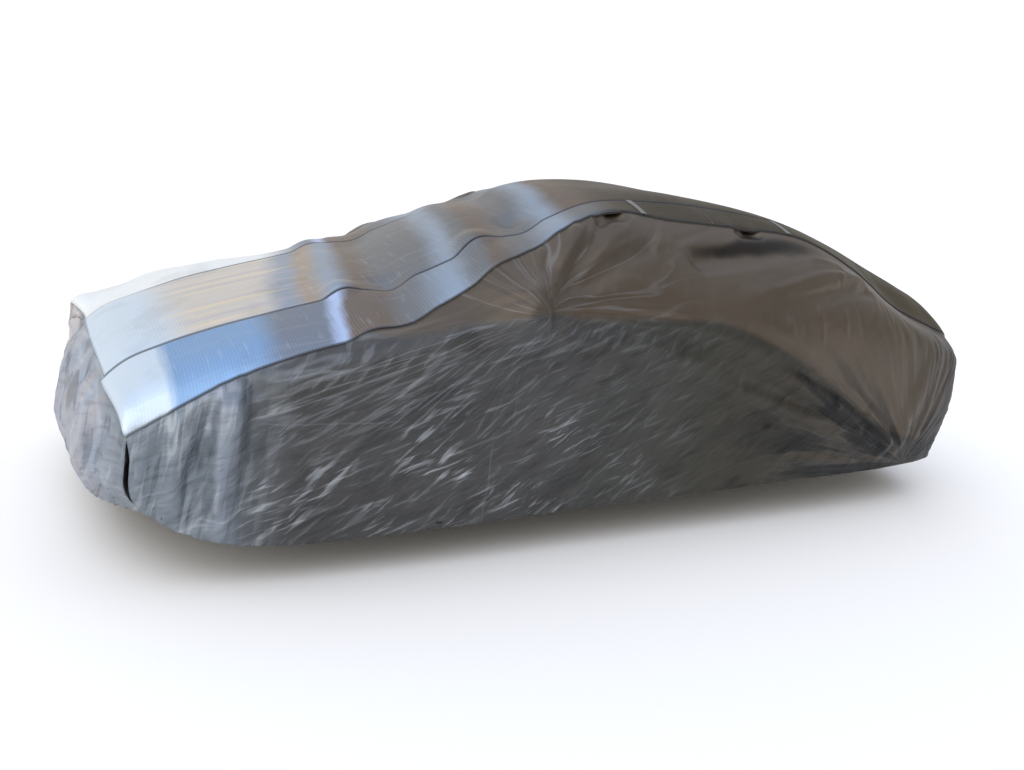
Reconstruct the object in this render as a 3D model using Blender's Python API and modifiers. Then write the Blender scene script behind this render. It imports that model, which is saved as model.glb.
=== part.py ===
"""A fitted cover for a saloon car: a thin silver skin sewn from five panels, with ribbed foam pads along its top.

The cover has the draped shape it keeps on the car, and is hollow where the car goes. While the shape is worked out,
x runs from the nose to the tail, y from the near side to the far side and z up from the ground, in metres. The
finished objects are moved so that the origin lies under the skin at the roof's crown, where the car holds the cover.
"""

import bmesh
import bpy
import numpy as np

# Thicknesses, and the gaps that keep the pieces apart.
SKIN = 0.0015
PAD = 0.006
TAB = 0.001
LIFT = 0.0007
TAB_LIFT = 0.0008
SEAM_GAP = 0.0002
PAD_GAP = 0.004

# Where the car's roof holds the cover.
ROOF_X = 2.50

# The lines that run along each half of the cover are numbered from 0 at its crown down to the hem.
SEAM, EDGE, BELT, FULL, HEM = range(1, 6)
# Faces between each line and the next, and the length of the faces along the cover.
FACES_ACROSS = (4, 3, 5, 3, 4)
FACE_LENGTH = 0.08

# How many points carry a fold's route over the form.
ROUTE_POINTS = 7

# One row for each cross-section of the draped skin. It crosses the middle at "along" and meets the strips' outer
# edges further back by "bow"; the seam lies between the centre pad and a side strip, the belt is where the car's
# side windows end, and the full line is the widest. The hem lies further back than the belt by "hem_back".
STATION_COLUMNS = ("along", "bow", "crown_z", "seam_y", "seam_z", "edge_y", "edge_z", "belt_y", "belt_z",
                   "full_y", "full_z", "hem_y", "hem_z", "hem_back")
STATIONS = (
    (0.23, 0.04, 0.665, 0.43, 0.645, 0.800, 0.551, 0.795, 0.48, 0.785, 0.37, 0.760, 0.275, 0.05),
    (0.29, 0.04, 0.720, 0.43, 0.700, 0.800, 0.590, 0.825, 0.51, 0.820, 0.39, 0.800, 0.25, 0.04),
    (0.41, 0.04, 0.780, 0.43, 0.758, 0.800, 0.660, 0.850, 0.58, 0.850, 0.42, 0.830, 0.20, 0.03),
    (0.57, 0.03, 0.835, 0.43, 0.815, 0.800, 0.740, 0.865, 0.67, 0.875, 0.46, 0.855, 0.165, 0.02),
    (0.80, 0.00, 0.900, 0.43, 0.880, 0.790, 0.810, 0.870, 0.76, 0.900, 0.50, 0.880, 0.155, 0.00),
    (1.10, 0.00, 0.980, 0.43, 0.960, 0.760, 0.888, 0.870, 0.87, 0.910, 0.54, 0.895, 0.16, 0.00),
    (1.35, 0.00, 1.065, 0.43, 1.036, 0.720, 0.980, 0.875, 0.93, 0.915, 0.58, 0.900, 0.165, 0.00),
    (1.62, 0.00, 1.190, 0.43, 1.160, 0.670, 1.125, 0.885, 0.97, 0.915, 0.60, 0.900, 0.17, 0.00),
    (1.90, 0.00, 1.315, 0.43, 1.285, 0.620, 1.280, 0.890, 0.97, 0.915, 0.60, 0.900, 0.18, 0.00),
    (2.12, 0.00, 1.405, 0.43, 1.380, 0.580, 1.365, 0.890, 0.97, 0.915, 0.60, 0.900, 0.185, 0.00),
    (2.50, 0.00, 1.445, 0.43, 1.415, 0.560, 1.355, 0.890, 0.97, 0.915, 0.60, 0.900, 0.19, 0.00),
    (2.90, 0.00, 1.425, 0.43, 1.405, 0.560, 1.345, 0.890, 0.975, 0.915, 0.60, 0.900, 0.20, 0.00),
    (3.30, 0.00, 1.380, 0.43, 1.365, 0.570, 1.320, 0.885, 0.98, 0.915, 0.62, 0.900, 0.21, 0.00),
    (3.70, 0.00, 1.280, 0.43, 1.262, 0.600, 1.180, 0.870, 0.97, 0.910, 0.64, 0.895, 0.215, 0.00),
    (4.00, 0.00, 1.180, 0.44, 1.157, 0.650, 1.010, 0.850, 0.92, 0.900, 0.65, 0.880, 0.22, 0.00),
    (4.28, -0.01, 1.090, 0.45, 1.065, 0.690, 0.920, 0.815, 0.84, 0.865, 0.62, 0.840, 0.22, -0.01),
    (4.43, -0.03, 1.035, 0.46, 1.010, 0.690, 0.880, 0.780, 0.80, 0.825, 0.60, 0.800, 0.22, -0.03),
    (4.52, -0.06, 0.980, 0.46, 0.960, 0.660, 0.850, 0.700, 0.77, 0.740, 0.56, 0.720, 0.22, -0.04),
)

# The faces of the front and rear panels, down the middle, level with the belt, full line and hem of their corners.
END_COLUMNS = ("crown_x", "crown_z", "seam_x", "seam_y", "seam_z")
FRONT = (
    (0.15, 0.53, 0.17, 0.44, 0.52),
    (0.12, 0.35, 0.15, 0.44, 0.36),
    (0.20, 0.14, 0.22, 0.43, 0.20),
)
REAR = (
    (4.57, 0.83, 4.55, 0.46, 0.82),
    (4.60, 0.58, 4.57, 0.50, 0.58),
    (4.56, 0.24, 4.53, 0.50, 0.23),
)

# The pads come in butted lengths, named with where each ends. Tabs cross the strips' joints at the roof's corners,
# over this share of the face on either side, and the near strip starts further forward than the centre pad.
STRIP_LENGTHS = (("front", 2.36), ("roof_front", 2.72), ("roof_rear", 3.24), ("quarter", 3.86), ("boot", 4.60))
CENTRE_LENGTHS = (("front", 3.86), ("boot", 4.60))
TAB_JOINTS = ("front", "roof_rear")
TAB_SHARE = 0.2
STRIP_FORWARD = 0.02

# The open slits at the front corners, each widest halfway down.
SLIT = 0.016

# Soft ridges (depth over 0) and troughs (under 0): where each starts and ends, its half width, and its depth at both
# ends. Each end has its place along the cover, and across it by the number of the line it lies on, with the near
# side's under 0. On the front panel the place along runs from 0 at the top over -1 and -2, level with the belt and
# full line, to -3 at the hem; on the rear panel it runs from 0 to 3.
FOLD_COLUMNS = ("from_along", "from_line", "to_along", "to_line", "width", "from_depth", "to_depth")
FOLDS = (
    # Waves of the pads across the cover, at the foot of the windscreen and halfway up it.
    (1.08, -2.10, 1.08, -0.90, 0.10, 0.018, 0.018),
    (1.08, -0.90, 1.28, 2.20, 0.10, 0.018, 0.018),
    (1.24, -1.90, 1.27, -0.90, 0.12, -0.018, -0.018),
    (1.27, -0.90, 1.48, 2.20, 0.12, -0.018, -0.018),
    (1.61, -2.00, 1.64, -0.90, 0.13, 0.022, 0.024),
    (1.64, -0.90, 1.82, 1.60, 0.13, 0.024, 0.018),
    (1.80, -1.80, 1.86, -0.60, 0.11, -0.018, -0.020),
    (1.86, -0.60, 2.02, 1.60, 0.11, -0.020, -0.014),
    # The far side lies fuller over the hood and its front corner, and lower at the front of the roof.
    (0.70, 1.60, 1.30, 1.60, 0.35, 0.030, 0.030),
    (0.25, 2.20, 0.45, 2.20, 0.30, 0.090, 0.050),
    (1.90, 2.00, 2.30, 2.00, 0.35, -0.050, -0.030),
    # Creases that spread from the near mirror, and the fold that leads over it.
    (1.70, -2.75, 1.97, -2.15, 0.07, 0.012, 0.022),
    (1.72, -2.75, 2.08, -2.15, 0.06, -0.010, -0.020),
    (1.74, -2.80, 2.27, -2.40, 0.06, -0.015, -0.012),
    (1.12, -2.60, 1.60, -3.05, 0.07, 0.008, 0.014),
    (1.76, -3.02, 2.50, -3.08, 0.07, -0.022, -0.006),
    # Sags under the near strip, and the sunken patch behind them.
    (2.10, -2.07, 2.20, -2.07, 0.05, -0.028, -0.028),
    (2.90, -2.06, 3.00, -2.06, 0.05, -0.024, -0.024),
    (2.56, -2.42, 3.20, -2.26, 0.09, -0.034, -0.016),
    # Creases that spread from the rear pillar.
    (3.62, -2.35, 2.80, -2.75, 0.08, 0.020, 0.006),
    (3.62, -2.50, 3.00, -2.88, 0.07, -0.016, -0.004),
    # Long folds that gather behind the rear wheel.
    (3.80, -4.70, 2.20, -3.25, 0.09, 0.030, 0.012),
    (3.76, -4.65, 2.38, -3.18, 0.08, -0.020, -0.010),
    (3.80, -4.60, 2.58, -3.10, 0.09, 0.030, 0.012),
    (3.76, -4.52, 2.80, -3.15, 0.08, -0.020, -0.010),
    (3.78, -4.45, 3.00, -3.12, 0.09, 0.028, 0.010),
    (3.92, -4.70, 4.12, -3.40, 0.10, 0.022, 0.006),
    # Upright drapes at the near front corner.
    (0.33, -3.00, 0.29, -4.70, 0.06, -0.016, -0.018),
    (0.46, -2.95, 0.43, -4.70, 0.07, -0.026, -0.026),
    (0.56, -3.05, 0.51, -4.80, 0.07, 0.030, 0.030),
    (0.67, -3.05, 0.64, -4.80, 0.08, -0.016, -0.012),
    # Slanting folds over the near side.
    (0.85, -4.30, 1.35, -3.15, 0.10, 0.012, 0.010),
    (1.20, -4.50, 1.75, -3.35, 0.10, -0.012, -0.010),
    (1.55, -4.60, 2.15, -3.55, 0.10, 0.012, 0.012),
    # The far side's own folds.
    (1.70, 2.75, 2.10, 2.15, 0.08, 0.014, 0.020),
    (1.76, 3.02, 2.70, 3.10, 0.08, -0.020, -0.008),
    (3.85, 4.70, 2.60, 3.20, 0.10, 0.030, 0.012),
    (3.80, 4.60, 2.95, 3.15, 0.09, -0.020, -0.010),
    (3.82, 4.50, 3.20, 3.15, 0.10, 0.024, 0.010),
    (0.55, 2.60, 0.50, 4.70, 0.08, -0.024, -0.020),
    (0.70, 2.80, 0.66, 4.70, 0.07, 0.024, 0.020),
    (1.00, 4.40, 1.60, 3.30, 0.10, 0.014, 0.012),
)
FRONT_FOLDS = (
    (-0.20, 1.90, -1.20, 1.80, 0.32, 0.070, 0.040),
    (-0.80, -1.45, -2.60, -1.30, 0.08, -0.024, -0.016),
    (-0.80, -1.00, -2.70, -0.90, 0.07, 0.018, 0.014),
    (-0.50, -0.45, -2.70, -0.50, 0.08, -0.020, -0.014),
    (-0.50, 0.20, -2.70, 0.10, 0.08, 0.018, 0.012),
    (-0.50, 0.95, -2.60, 0.85, 0.09, -0.022, -0.014),
)
REAR_FOLDS = (
    (0.20, -1.20, 2.80, -1.30, 0.09, -0.020, -0.014),
    (0.20, -0.35, 2.80, -0.25, 0.09, 0.020, 0.014),
    (0.20, 0.70, 2.80, 0.80, 0.09, -0.020, -0.016),
)

# The mirror pockets: where the cloth is pushed out, how far it reaches and how far it sticks out.
MIRROR_X, MIRROR_Y, MIRROR_Z = 1.65, 0.89, 1.01
MIRROR_REACH = 0.25
MIRROR_OUT = 0.11

# Colours, with roughness and metallic value.
FINISHES = {
    "skin": ((0.30, 0.30, 0.29, 1.0), 0.38, 0.6),
    "pad": ((0.62, 0.64, 0.66, 1.0), 0.42, 0.4),
    "tab": ((0.70, 0.71, 0.70, 1.0), 0.5, 0.1),
}


def clear_scene():
    for existing in list(bpy.data.objects):
        bpy.data.objects.remove(existing, do_unlink=True)


def refined(points, faces):
    """A smooth curve through points (their first axis), with this many faces between each point and the next."""
    chords = np.diff(points, axis=0)
    lengths = np.linalg.norm(chords, axis=-1, keepdims=True)
    slopes = chords / lengths
    inner = (slopes[:-1] * lengths[1:] + slopes[1:] * lengths[:-1]) / (lengths[:-1] + lengths[1:])
    tangents = np.concatenate([slopes[:1], inner, slopes[-1:]])
    rows = [points[:1]]
    for i, count in enumerate(faces):
        for t in np.arange(1, count + 1) / count:
            out, back = (1 + 2 * t) * (1 - t) ** 2, t * t * (3 - 2 * t)
            leave, arrive = t * (1 - t) ** 2, t * t * (t - 1)
            bend = leave * tangents[i] + arrive * tangents[i + 1]
            rows.append((out * points[i] + back * points[i + 1] + bend * lengths[i])[None])
    return np.concatenate(rows)


def station_points():
    """The stations' points on the near half, as [station, line, xyz]."""
    rows = []
    for values in STATIONS:
        at = dict(zip(STATION_COLUMNS, values))
        side_x = at["along"] + at["bow"]
        seam_x = at["along"] + at["bow"] * (at["seam_y"] / at["edge_y"]) ** 2
        rows.append((
            (at["along"], 0.0, at["crown_z"]),
            (seam_x, -at["seam_y"], at["seam_z"]),
            (side_x, -at["edge_y"], at["edge_z"]),
            (side_x, -at["belt_y"], at["belt_z"]),
            (side_x, -at["full_y"], at["full_z"]),
            (side_x + at["hem_back"], -at["hem_y"], at["hem_z"]),
        ))
    return np.array(rows)


def end_points(rows, corner):
    """An end panel's points on the near half, as [row, line, xyz], out to the corner line of the side panel."""
    made = []
    for values, edge in zip(rows, corner):
        at = dict(zip(END_COLUMNS, values))
        made.append(((at["crown_x"], 0.0, at["crown_z"]), (at["seam_x"], -at["seam_y"], at["seam_z"]), edge))
    return np.array(made)


def both_halves(near):
    """Lines of the near half, from the middle out, mirrored to run from the near side to the far side."""
    return np.concatenate([near[::-1], near[1:] * (1, -1, 1)])


def numbered(faces, numbers):
    """The numbers shared out over the faces between each and the next."""
    return np.interp(np.arange(sum(faces) + 1), np.cumsum([0] + list(faces)), numbers)


def draped_form():
    """The smooth form under the folds: the whole length, the front and the rear, each as [across, along, xyz] with
    its places along and its line numbers."""
    stations = station_points()
    front = end_points(FRONT, stations[0, BELT:])[::-1]
    rear = end_points(REAR, stations[-1, BELT:])
    side_faces = FACES_ACROSS[EDGE:]
    along = [max(1, round(gap / FACE_LENGTH)) for gap in np.diff(stations[:, FULL, 0])]
    band = np.concatenate([front, stations[:, :BELT], rear])
    band = refined(band, list(side_faces[::-1]) + along + list(side_faces))
    ends = sum(side_faces)
    lines = np.concatenate([band[ends:-ends], refined(stations[:, BELT:], along)], axis=1)
    across = FACES_ACROSS[::-1] + FACES_ACROSS
    whole = refined(both_halves(np.swapaxes(lines, 0, 1)), across)
    top_faces = FACES_ACROSS[:EDGE][::-1] + FACES_ACROSS[:EDGE]
    front = refined(both_halves(np.swapaxes(band[:ends + 1], 0, 1)), top_faces)
    rear = refined(both_halves(np.swapaxes(band[-ends - 1:], 0, 1)), top_faces)
    front[:, -1] = whole[ends:-ends, 0]
    rear[:, 0] = whole[ends:-ends, -1]
    for end, row, order in ((front, 0, -1), (rear, -1, 1)):
        end[0] = whole[:ends + 1, row][::-order]
        end[-1] = whole[-ends - 1:, row][::order]
    levels = numbered(side_faces, range(len(side_faces) + 1))
    top_lines = numbered(top_faces, range(-EDGE, EDGE + 1))
    return (
        (whole, numbered(along, [values[0] for values in STATIONS]), numbered(across, range(-HEM, HEM + 1))),
        (front, -levels[::-1], top_lines),
        (rear, levels, top_lines),
    )


def normals_of(grid):
    """Unit normals of a grid, pointing out of the cover."""
    across, along = np.gradient(grid, axis=0), np.gradient(grid, axis=1)
    normals = np.cross(along, across)
    return normals / np.linalg.norm(normals, axis=-1, keepdims=True)


def place(grid, along_at, line_at, along, line):
    """The point of a grid at these places along and across it."""
    row = np.interp(along, along_at, np.arange(len(along_at)))
    column = np.interp(line, line_at, np.arange(len(line_at)))
    j, i = min(int(row), grid.shape[1] - 2), min(int(column), grid.shape[0] - 2)
    row, column = row - j, column - i
    near = (1 - row) * grid[i, j] + row * grid[i, j + 1]
    far = (1 - row) * grid[i + 1, j] + row * grid[i + 1, j + 1]
    return (1 - column) * near + column * far


def fold_push(grid, along_at, line_at, folds):
    """How far each point of a grid is pushed out by the folds."""
    push = np.zeros(grid.shape[:2])
    for values in folds:
        fold = dict(zip(FOLD_COLUMNS, values))
        steps = np.linspace(0, 1, ROUTE_POINTS)
        along = fold["from_along"] + (fold["to_along"] - fold["from_along"]) * steps
        line = fold["from_line"] + (fold["to_line"] - fold["from_line"]) * steps
        route = [place(grid, along_at, line_at, *at) for at in zip(along, line)]
        nearest = np.full(grid.shape[:2], np.inf)
        depth = np.zeros(grid.shape[:2])
        for k in range(ROUTE_POINTS - 1):
            run = route[k + 1] - route[k]
            share = np.clip((grid - route[k]) @ run / (run @ run), 0, 1)
            distance = np.linalg.norm(grid - route[k] - share[..., None] * run, axis=-1)
            closer = distance < nearest
            nearest[closer] = distance[closer]
            depth[closer] = (k + share[closer]) / (ROUTE_POINTS - 1)
        depth = fold["from_depth"] + (fold["to_depth"] - fold["from_depth"]) * depth
        push += depth * np.clip(1 - (nearest / fold["width"]) ** 2, 0, 1) ** 2
    return push


def mirror_push(grid):
    """How far each point of the cover is pushed out by the mirrors under it."""
    distance = np.linalg.norm(abs(grid) - (MIRROR_X, MIRROR_Y, MIRROR_Z), axis=-1)
    return MIRROR_OUT * np.clip(1 - distance / MIRROR_REACH, 0, 1) ** 1.5


def draped_sheets():
    """The whole length, the front and the rear with their folds."""
    (whole, whole_at, whole_lines), (front, front_at, front_lines), (rear, rear_at, rear_lines) = draped_form()
    push = fold_push(whole, whole_at, whole_lines, FOLDS) + mirror_push(whole)
    front_push = fold_push(front, front_at, front_lines, FRONT_FOLDS)
    rear_push = fold_push(rear, rear_at, rear_lines, REAR_FOLDS)
    ends = sum(FACES_ACROSS[EDGE:])
    whole = whole + push[..., None] * normals_of(whole)
    front = front + front_push[..., None] * normals_of(front)
    rear = rear + rear_push[..., None] * normals_of(rear)
    front[:, -1], rear[:, 0] = whole[ends:-ends, 0], whole[ends:-ends, -1]
    front[0], front[-1] = whole[:ends + 1, 0], whole[-ends - 1:, 0][::-1]
    rear[0], rear[-1] = whole[:ends + 1, -1][::-1], whole[-ends - 1:, -1]
    return whole, front, rear


def inset(grid, gaps):
    """The grid with its four edges drawn in along the sheet: first and last across, first and last along."""
    grid = grid.copy()
    for turned, pair in ((grid, gaps[:2]), (np.swapaxes(grid, 0, 1), gaps[2:])):
        for edge, beside, gap in ((0, 1, pair[0]), (-1, -2, pair[1])):
            inward = turned[beside] - turned[edge]
            turned[edge] += gap * inward / np.linalg.norm(inward, axis=-1, keepdims=True)
    return grid


def lengthened(grid, forward):
    """The grid with a row of faces added in front of its first, straight ahead."""
    if not forward:
        return grid
    ahead = grid[:, :1] - grid[:, 1:2]
    ahead *= forward / np.linalg.norm(ahead, axis=-1, keepdims=True)
    return np.concatenate([grid[:, :1] + ahead, grid], axis=1)


def finish(name):
    colour, roughness, metallic = FINISHES[name]
    material = bpy.data.materials.get(name) or bpy.data.materials.new(name)
    material.use_nodes = True
    shader = material.node_tree.nodes["Principled BSDF"]
    shader.inputs["Base Color"].default_value = colour
    shader.inputs["Roughness"].default_value = roughness
    shader.inputs["Metallic"].default_value = metallic
    return material


def sheet(name, grid, thickness, collection):
    """One object: the grid as an open sheet, thickened outwards."""
    mesh = bpy.data.meshes.new(name)
    model = bmesh.new()
    across, along = grid.shape[:2]
    points = [[model.verts.new(point) for point in line] for line in grid]
    for i in range(across - 1):
        for j in range(along - 1):
            model.faces.new((points[i][j], points[i][j + 1], points[i + 1][j + 1], points[i + 1][j]))
    bmesh.ops.triangulate(model, faces=model.faces, quad_method="FIXED")
    for face in model.faces:
        face.smooth = True
    model.to_mesh(mesh)
    model.free()
    piece = bpy.data.objects.new(name, mesh)
    thick = piece.modifiers.new("Thickness", "SOLIDIFY")
    thick.thickness = thickness
    thick.offset = 1.0
    mesh.materials.append(finish(name.split("_")[0]))
    collection.objects.link(piece)
    return piece


def build():
    clear_scene()
    collection = bpy.data.collections.new("car_cover")
    bpy.context.scene.collection.children.link(collection)
    whole, front, rear = draped_sheets()
    ends = sum(FACES_ACROSS[EDGE:])
    strip = FACES_ACROSS[SEAM]
    columns = {
        "near": slice(0, ends + 1),
        "near_strip": slice(ends, ends + strip + 1),
        "top": slice(ends, -ends),
        "centre": slice(ends + strip, -ends - strip),
        "far_strip": slice(-ends - strip - 1, -ends),
        "far": slice(-ends - 1, None),
    }
    crown = len(whole) // 2
    roof = whole[crown, np.argmin(abs(whole[crown, :, 0] - ROOF_X))]
    whole, front, rear = (grid - roof for grid in (whole, front, rear))
    normals = normals_of(whole)
    sheet("skin_side_near", inset(whole[columns["near"]], (0, SEAM_GAP, SEAM_GAP, SEAM_GAP)), SKIN, collection)
    sheet("skin_side_far", inset(whole[columns["far"]], (SEAM_GAP, 0, SEAM_GAP, SEAM_GAP)), SKIN, collection)
    sheet("skin_top", inset(whole[columns["top"]], (SEAM_GAP,) * 4), SKIN, collection)
    slit = (SEAM_GAP + SLIT * np.sin(np.pi * np.linspace(0, 1, front.shape[1])))[:, None]
    sheet("skin_front", inset(front, (slit, slit, 0, SEAM_GAP)), SKIN, collection)
    sheet("skin_rear", inset(rear, (SEAM_GAP, SEAM_GAP, SEAM_GAP, 0)), SKIN, collection)

    lifted = whole + (SKIN + LIFT) * normals
    crown_x = whole[crown, :, 0] + roof[0]
    for part, lengths in (("centre", CENTRE_LENGTHS), ("near_strip", STRIP_LENGTHS), ("far_strip", STRIP_LENGTHS)):
        start, forward = 0, STRIP_FORWARD if part == "near_strip" else 0.0
        for name, end_x in lengths:
            end = int(np.argmin(abs(crown_x - end_x)))
            pad = inset(lifted[columns[part], start:end + 1], (PAD_GAP / 2,) * 4)
            sheet(f"pad_{part}_{name}", lengthened(pad, forward), PAD, collection)
            if part != "centre" and name in TAB_JOINTS:
                over = lifted[columns[part]] + (PAD + TAB_LIFT) * normals[columns[part]]
                before = (1 - TAB_SHARE) * over[:, end] + TAB_SHARE * over[:, end - 1]
                after = (1 - TAB_SHARE) * over[:, end] + TAB_SHARE * over[:, end + 1]
                tab = np.stack([before, over[:, end], after], axis=1)
                sheet(f"tab_{part[:-6]}_{name}", inset(tab, (PAD_GAP, PAD_GAP, 0, 0)), TAB, collection)
            start, forward = end, 0.0


build()
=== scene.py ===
# A fitted cover: a crinkled silver skin and ribbed, foil-faced foam pads, draped as it hangs.
import math

import bmesh
import bpy
import numpy as np
from mathutils import Matrix, Vector


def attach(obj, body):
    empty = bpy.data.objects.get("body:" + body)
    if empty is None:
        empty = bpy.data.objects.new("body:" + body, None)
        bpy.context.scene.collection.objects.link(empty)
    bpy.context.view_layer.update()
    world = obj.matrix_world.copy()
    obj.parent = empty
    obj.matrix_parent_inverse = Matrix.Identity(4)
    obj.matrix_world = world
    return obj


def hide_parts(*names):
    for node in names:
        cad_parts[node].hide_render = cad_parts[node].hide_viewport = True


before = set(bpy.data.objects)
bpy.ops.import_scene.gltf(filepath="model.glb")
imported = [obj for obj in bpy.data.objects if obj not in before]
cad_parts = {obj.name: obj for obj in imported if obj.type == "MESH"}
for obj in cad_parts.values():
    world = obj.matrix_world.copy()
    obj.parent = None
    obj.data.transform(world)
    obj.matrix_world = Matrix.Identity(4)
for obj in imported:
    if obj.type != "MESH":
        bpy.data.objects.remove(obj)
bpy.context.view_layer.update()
print("frame loaded")

# The draped form, in metres over the ground, from the same measurements as the solids
cover = {
    "skinThickness": 0.0012,
    "padThickness": 0.006,
    "padLift": 0.0022,            # from the form to the pads' undersides
    "padGap": 0.004,              # groove between two pads
    "seamGap": 0.0002,
    "roofX": 2.50,
    "facesAcross": (4, 3, 5, 3, 4),
    "faceLength": 0.08,
    "finer": 8,                   # faces here for one face of the solids, each way
    "hemTurn": 0.026,             # cloth folded inside at the hem
    "stitchLift": 0.0002,
}
seam, edge, belt, full, hem = range(1, 6)

# along, bow, crownZ, seamY, seamZ, edgeY, edgeZ, beltY, beltZ, fullY, fullZ, hemY, hemZ, hemBack
stations = (
    (0.23, 0.04, 0.665, 0.43, 0.645, 0.800, 0.551, 0.795, 0.48, 0.785, 0.37, 0.760, 0.275, 0.05),
    (0.29, 0.04, 0.720, 0.43, 0.700, 0.800, 0.590, 0.825, 0.51, 0.820, 0.39, 0.800, 0.25, 0.04),
    (0.41, 0.04, 0.780, 0.43, 0.758, 0.800, 0.660, 0.850, 0.58, 0.850, 0.42, 0.830, 0.20, 0.03),
    (0.57, 0.03, 0.835, 0.43, 0.815, 0.800, 0.740, 0.865, 0.67, 0.875, 0.46, 0.855, 0.165, 0.02),
    (0.80, 0.00, 0.900, 0.43, 0.880, 0.790, 0.810, 0.870, 0.76, 0.900, 0.50, 0.880, 0.155, 0.00),
    (1.10, 0.00, 0.980, 0.43, 0.960, 0.760, 0.888, 0.870, 0.87, 0.910, 0.54, 0.895, 0.16, 0.00),
    (1.35, 0.00, 1.065, 0.43, 1.036, 0.720, 0.980, 0.875, 0.93, 0.915, 0.58, 0.900, 0.165, 0.00),
    (1.62, 0.00, 1.190, 0.43, 1.160, 0.670, 1.125, 0.885, 0.97, 0.915, 0.60, 0.900, 0.17, 0.00),
    (1.90, 0.00, 1.315, 0.43, 1.285, 0.620, 1.280, 0.890, 0.97, 0.915, 0.60, 0.900, 0.18, 0.00),
    (2.12, 0.00, 1.405, 0.43, 1.380, 0.580, 1.365, 0.890, 0.97, 0.915, 0.60, 0.900, 0.185, 0.00),
    (2.50, 0.00, 1.445, 0.43, 1.415, 0.560, 1.355, 0.890, 0.97, 0.915, 0.60, 0.900, 0.19, 0.00),
    (2.90, 0.00, 1.425, 0.43, 1.405, 0.560, 1.345, 0.890, 0.975, 0.915, 0.60, 0.900, 0.20, 0.00),
    (3.30, 0.00, 1.380, 0.43, 1.365, 0.570, 1.320, 0.885, 0.98, 0.915, 0.62, 0.900, 0.21, 0.00),
    (3.70, 0.00, 1.280, 0.43, 1.262, 0.600, 1.180, 0.870, 0.97, 0.910, 0.64, 0.895, 0.215, 0.00),
    (4.00, 0.00, 1.180, 0.44, 1.157, 0.650, 1.010, 0.850, 0.92, 0.900, 0.65, 0.880, 0.22, 0.00),
    (4.28, -0.01, 1.090, 0.45, 1.065, 0.690, 0.920, 0.815, 0.84, 0.865, 0.62, 0.840, 0.22, -0.01),
    (4.43, -0.03, 1.035, 0.46, 1.010, 0.690, 0.880, 0.780, 0.80, 0.825, 0.60, 0.800, 0.22, -0.03),
    (4.52, -0.06, 0.980, 0.46, 0.960, 0.660, 0.850, 0.700, 0.77, 0.740, 0.56, 0.720, 0.22, -0.04),
)
# crownX, crownZ, seamX, seamY, seamZ, at the belt, the full line and the hem
frontRows = ((0.15, 0.53, 0.17, 0.44, 0.52), (0.12, 0.35, 0.15, 0.44, 0.36), (0.20, 0.14, 0.22, 0.43, 0.20))
rearRows = ((4.57, 0.83, 4.55, 0.46, 0.82), (4.60, 0.58, 4.57, 0.50, 0.58), (4.56, 0.24, 4.53, 0.50, 0.23))

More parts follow.
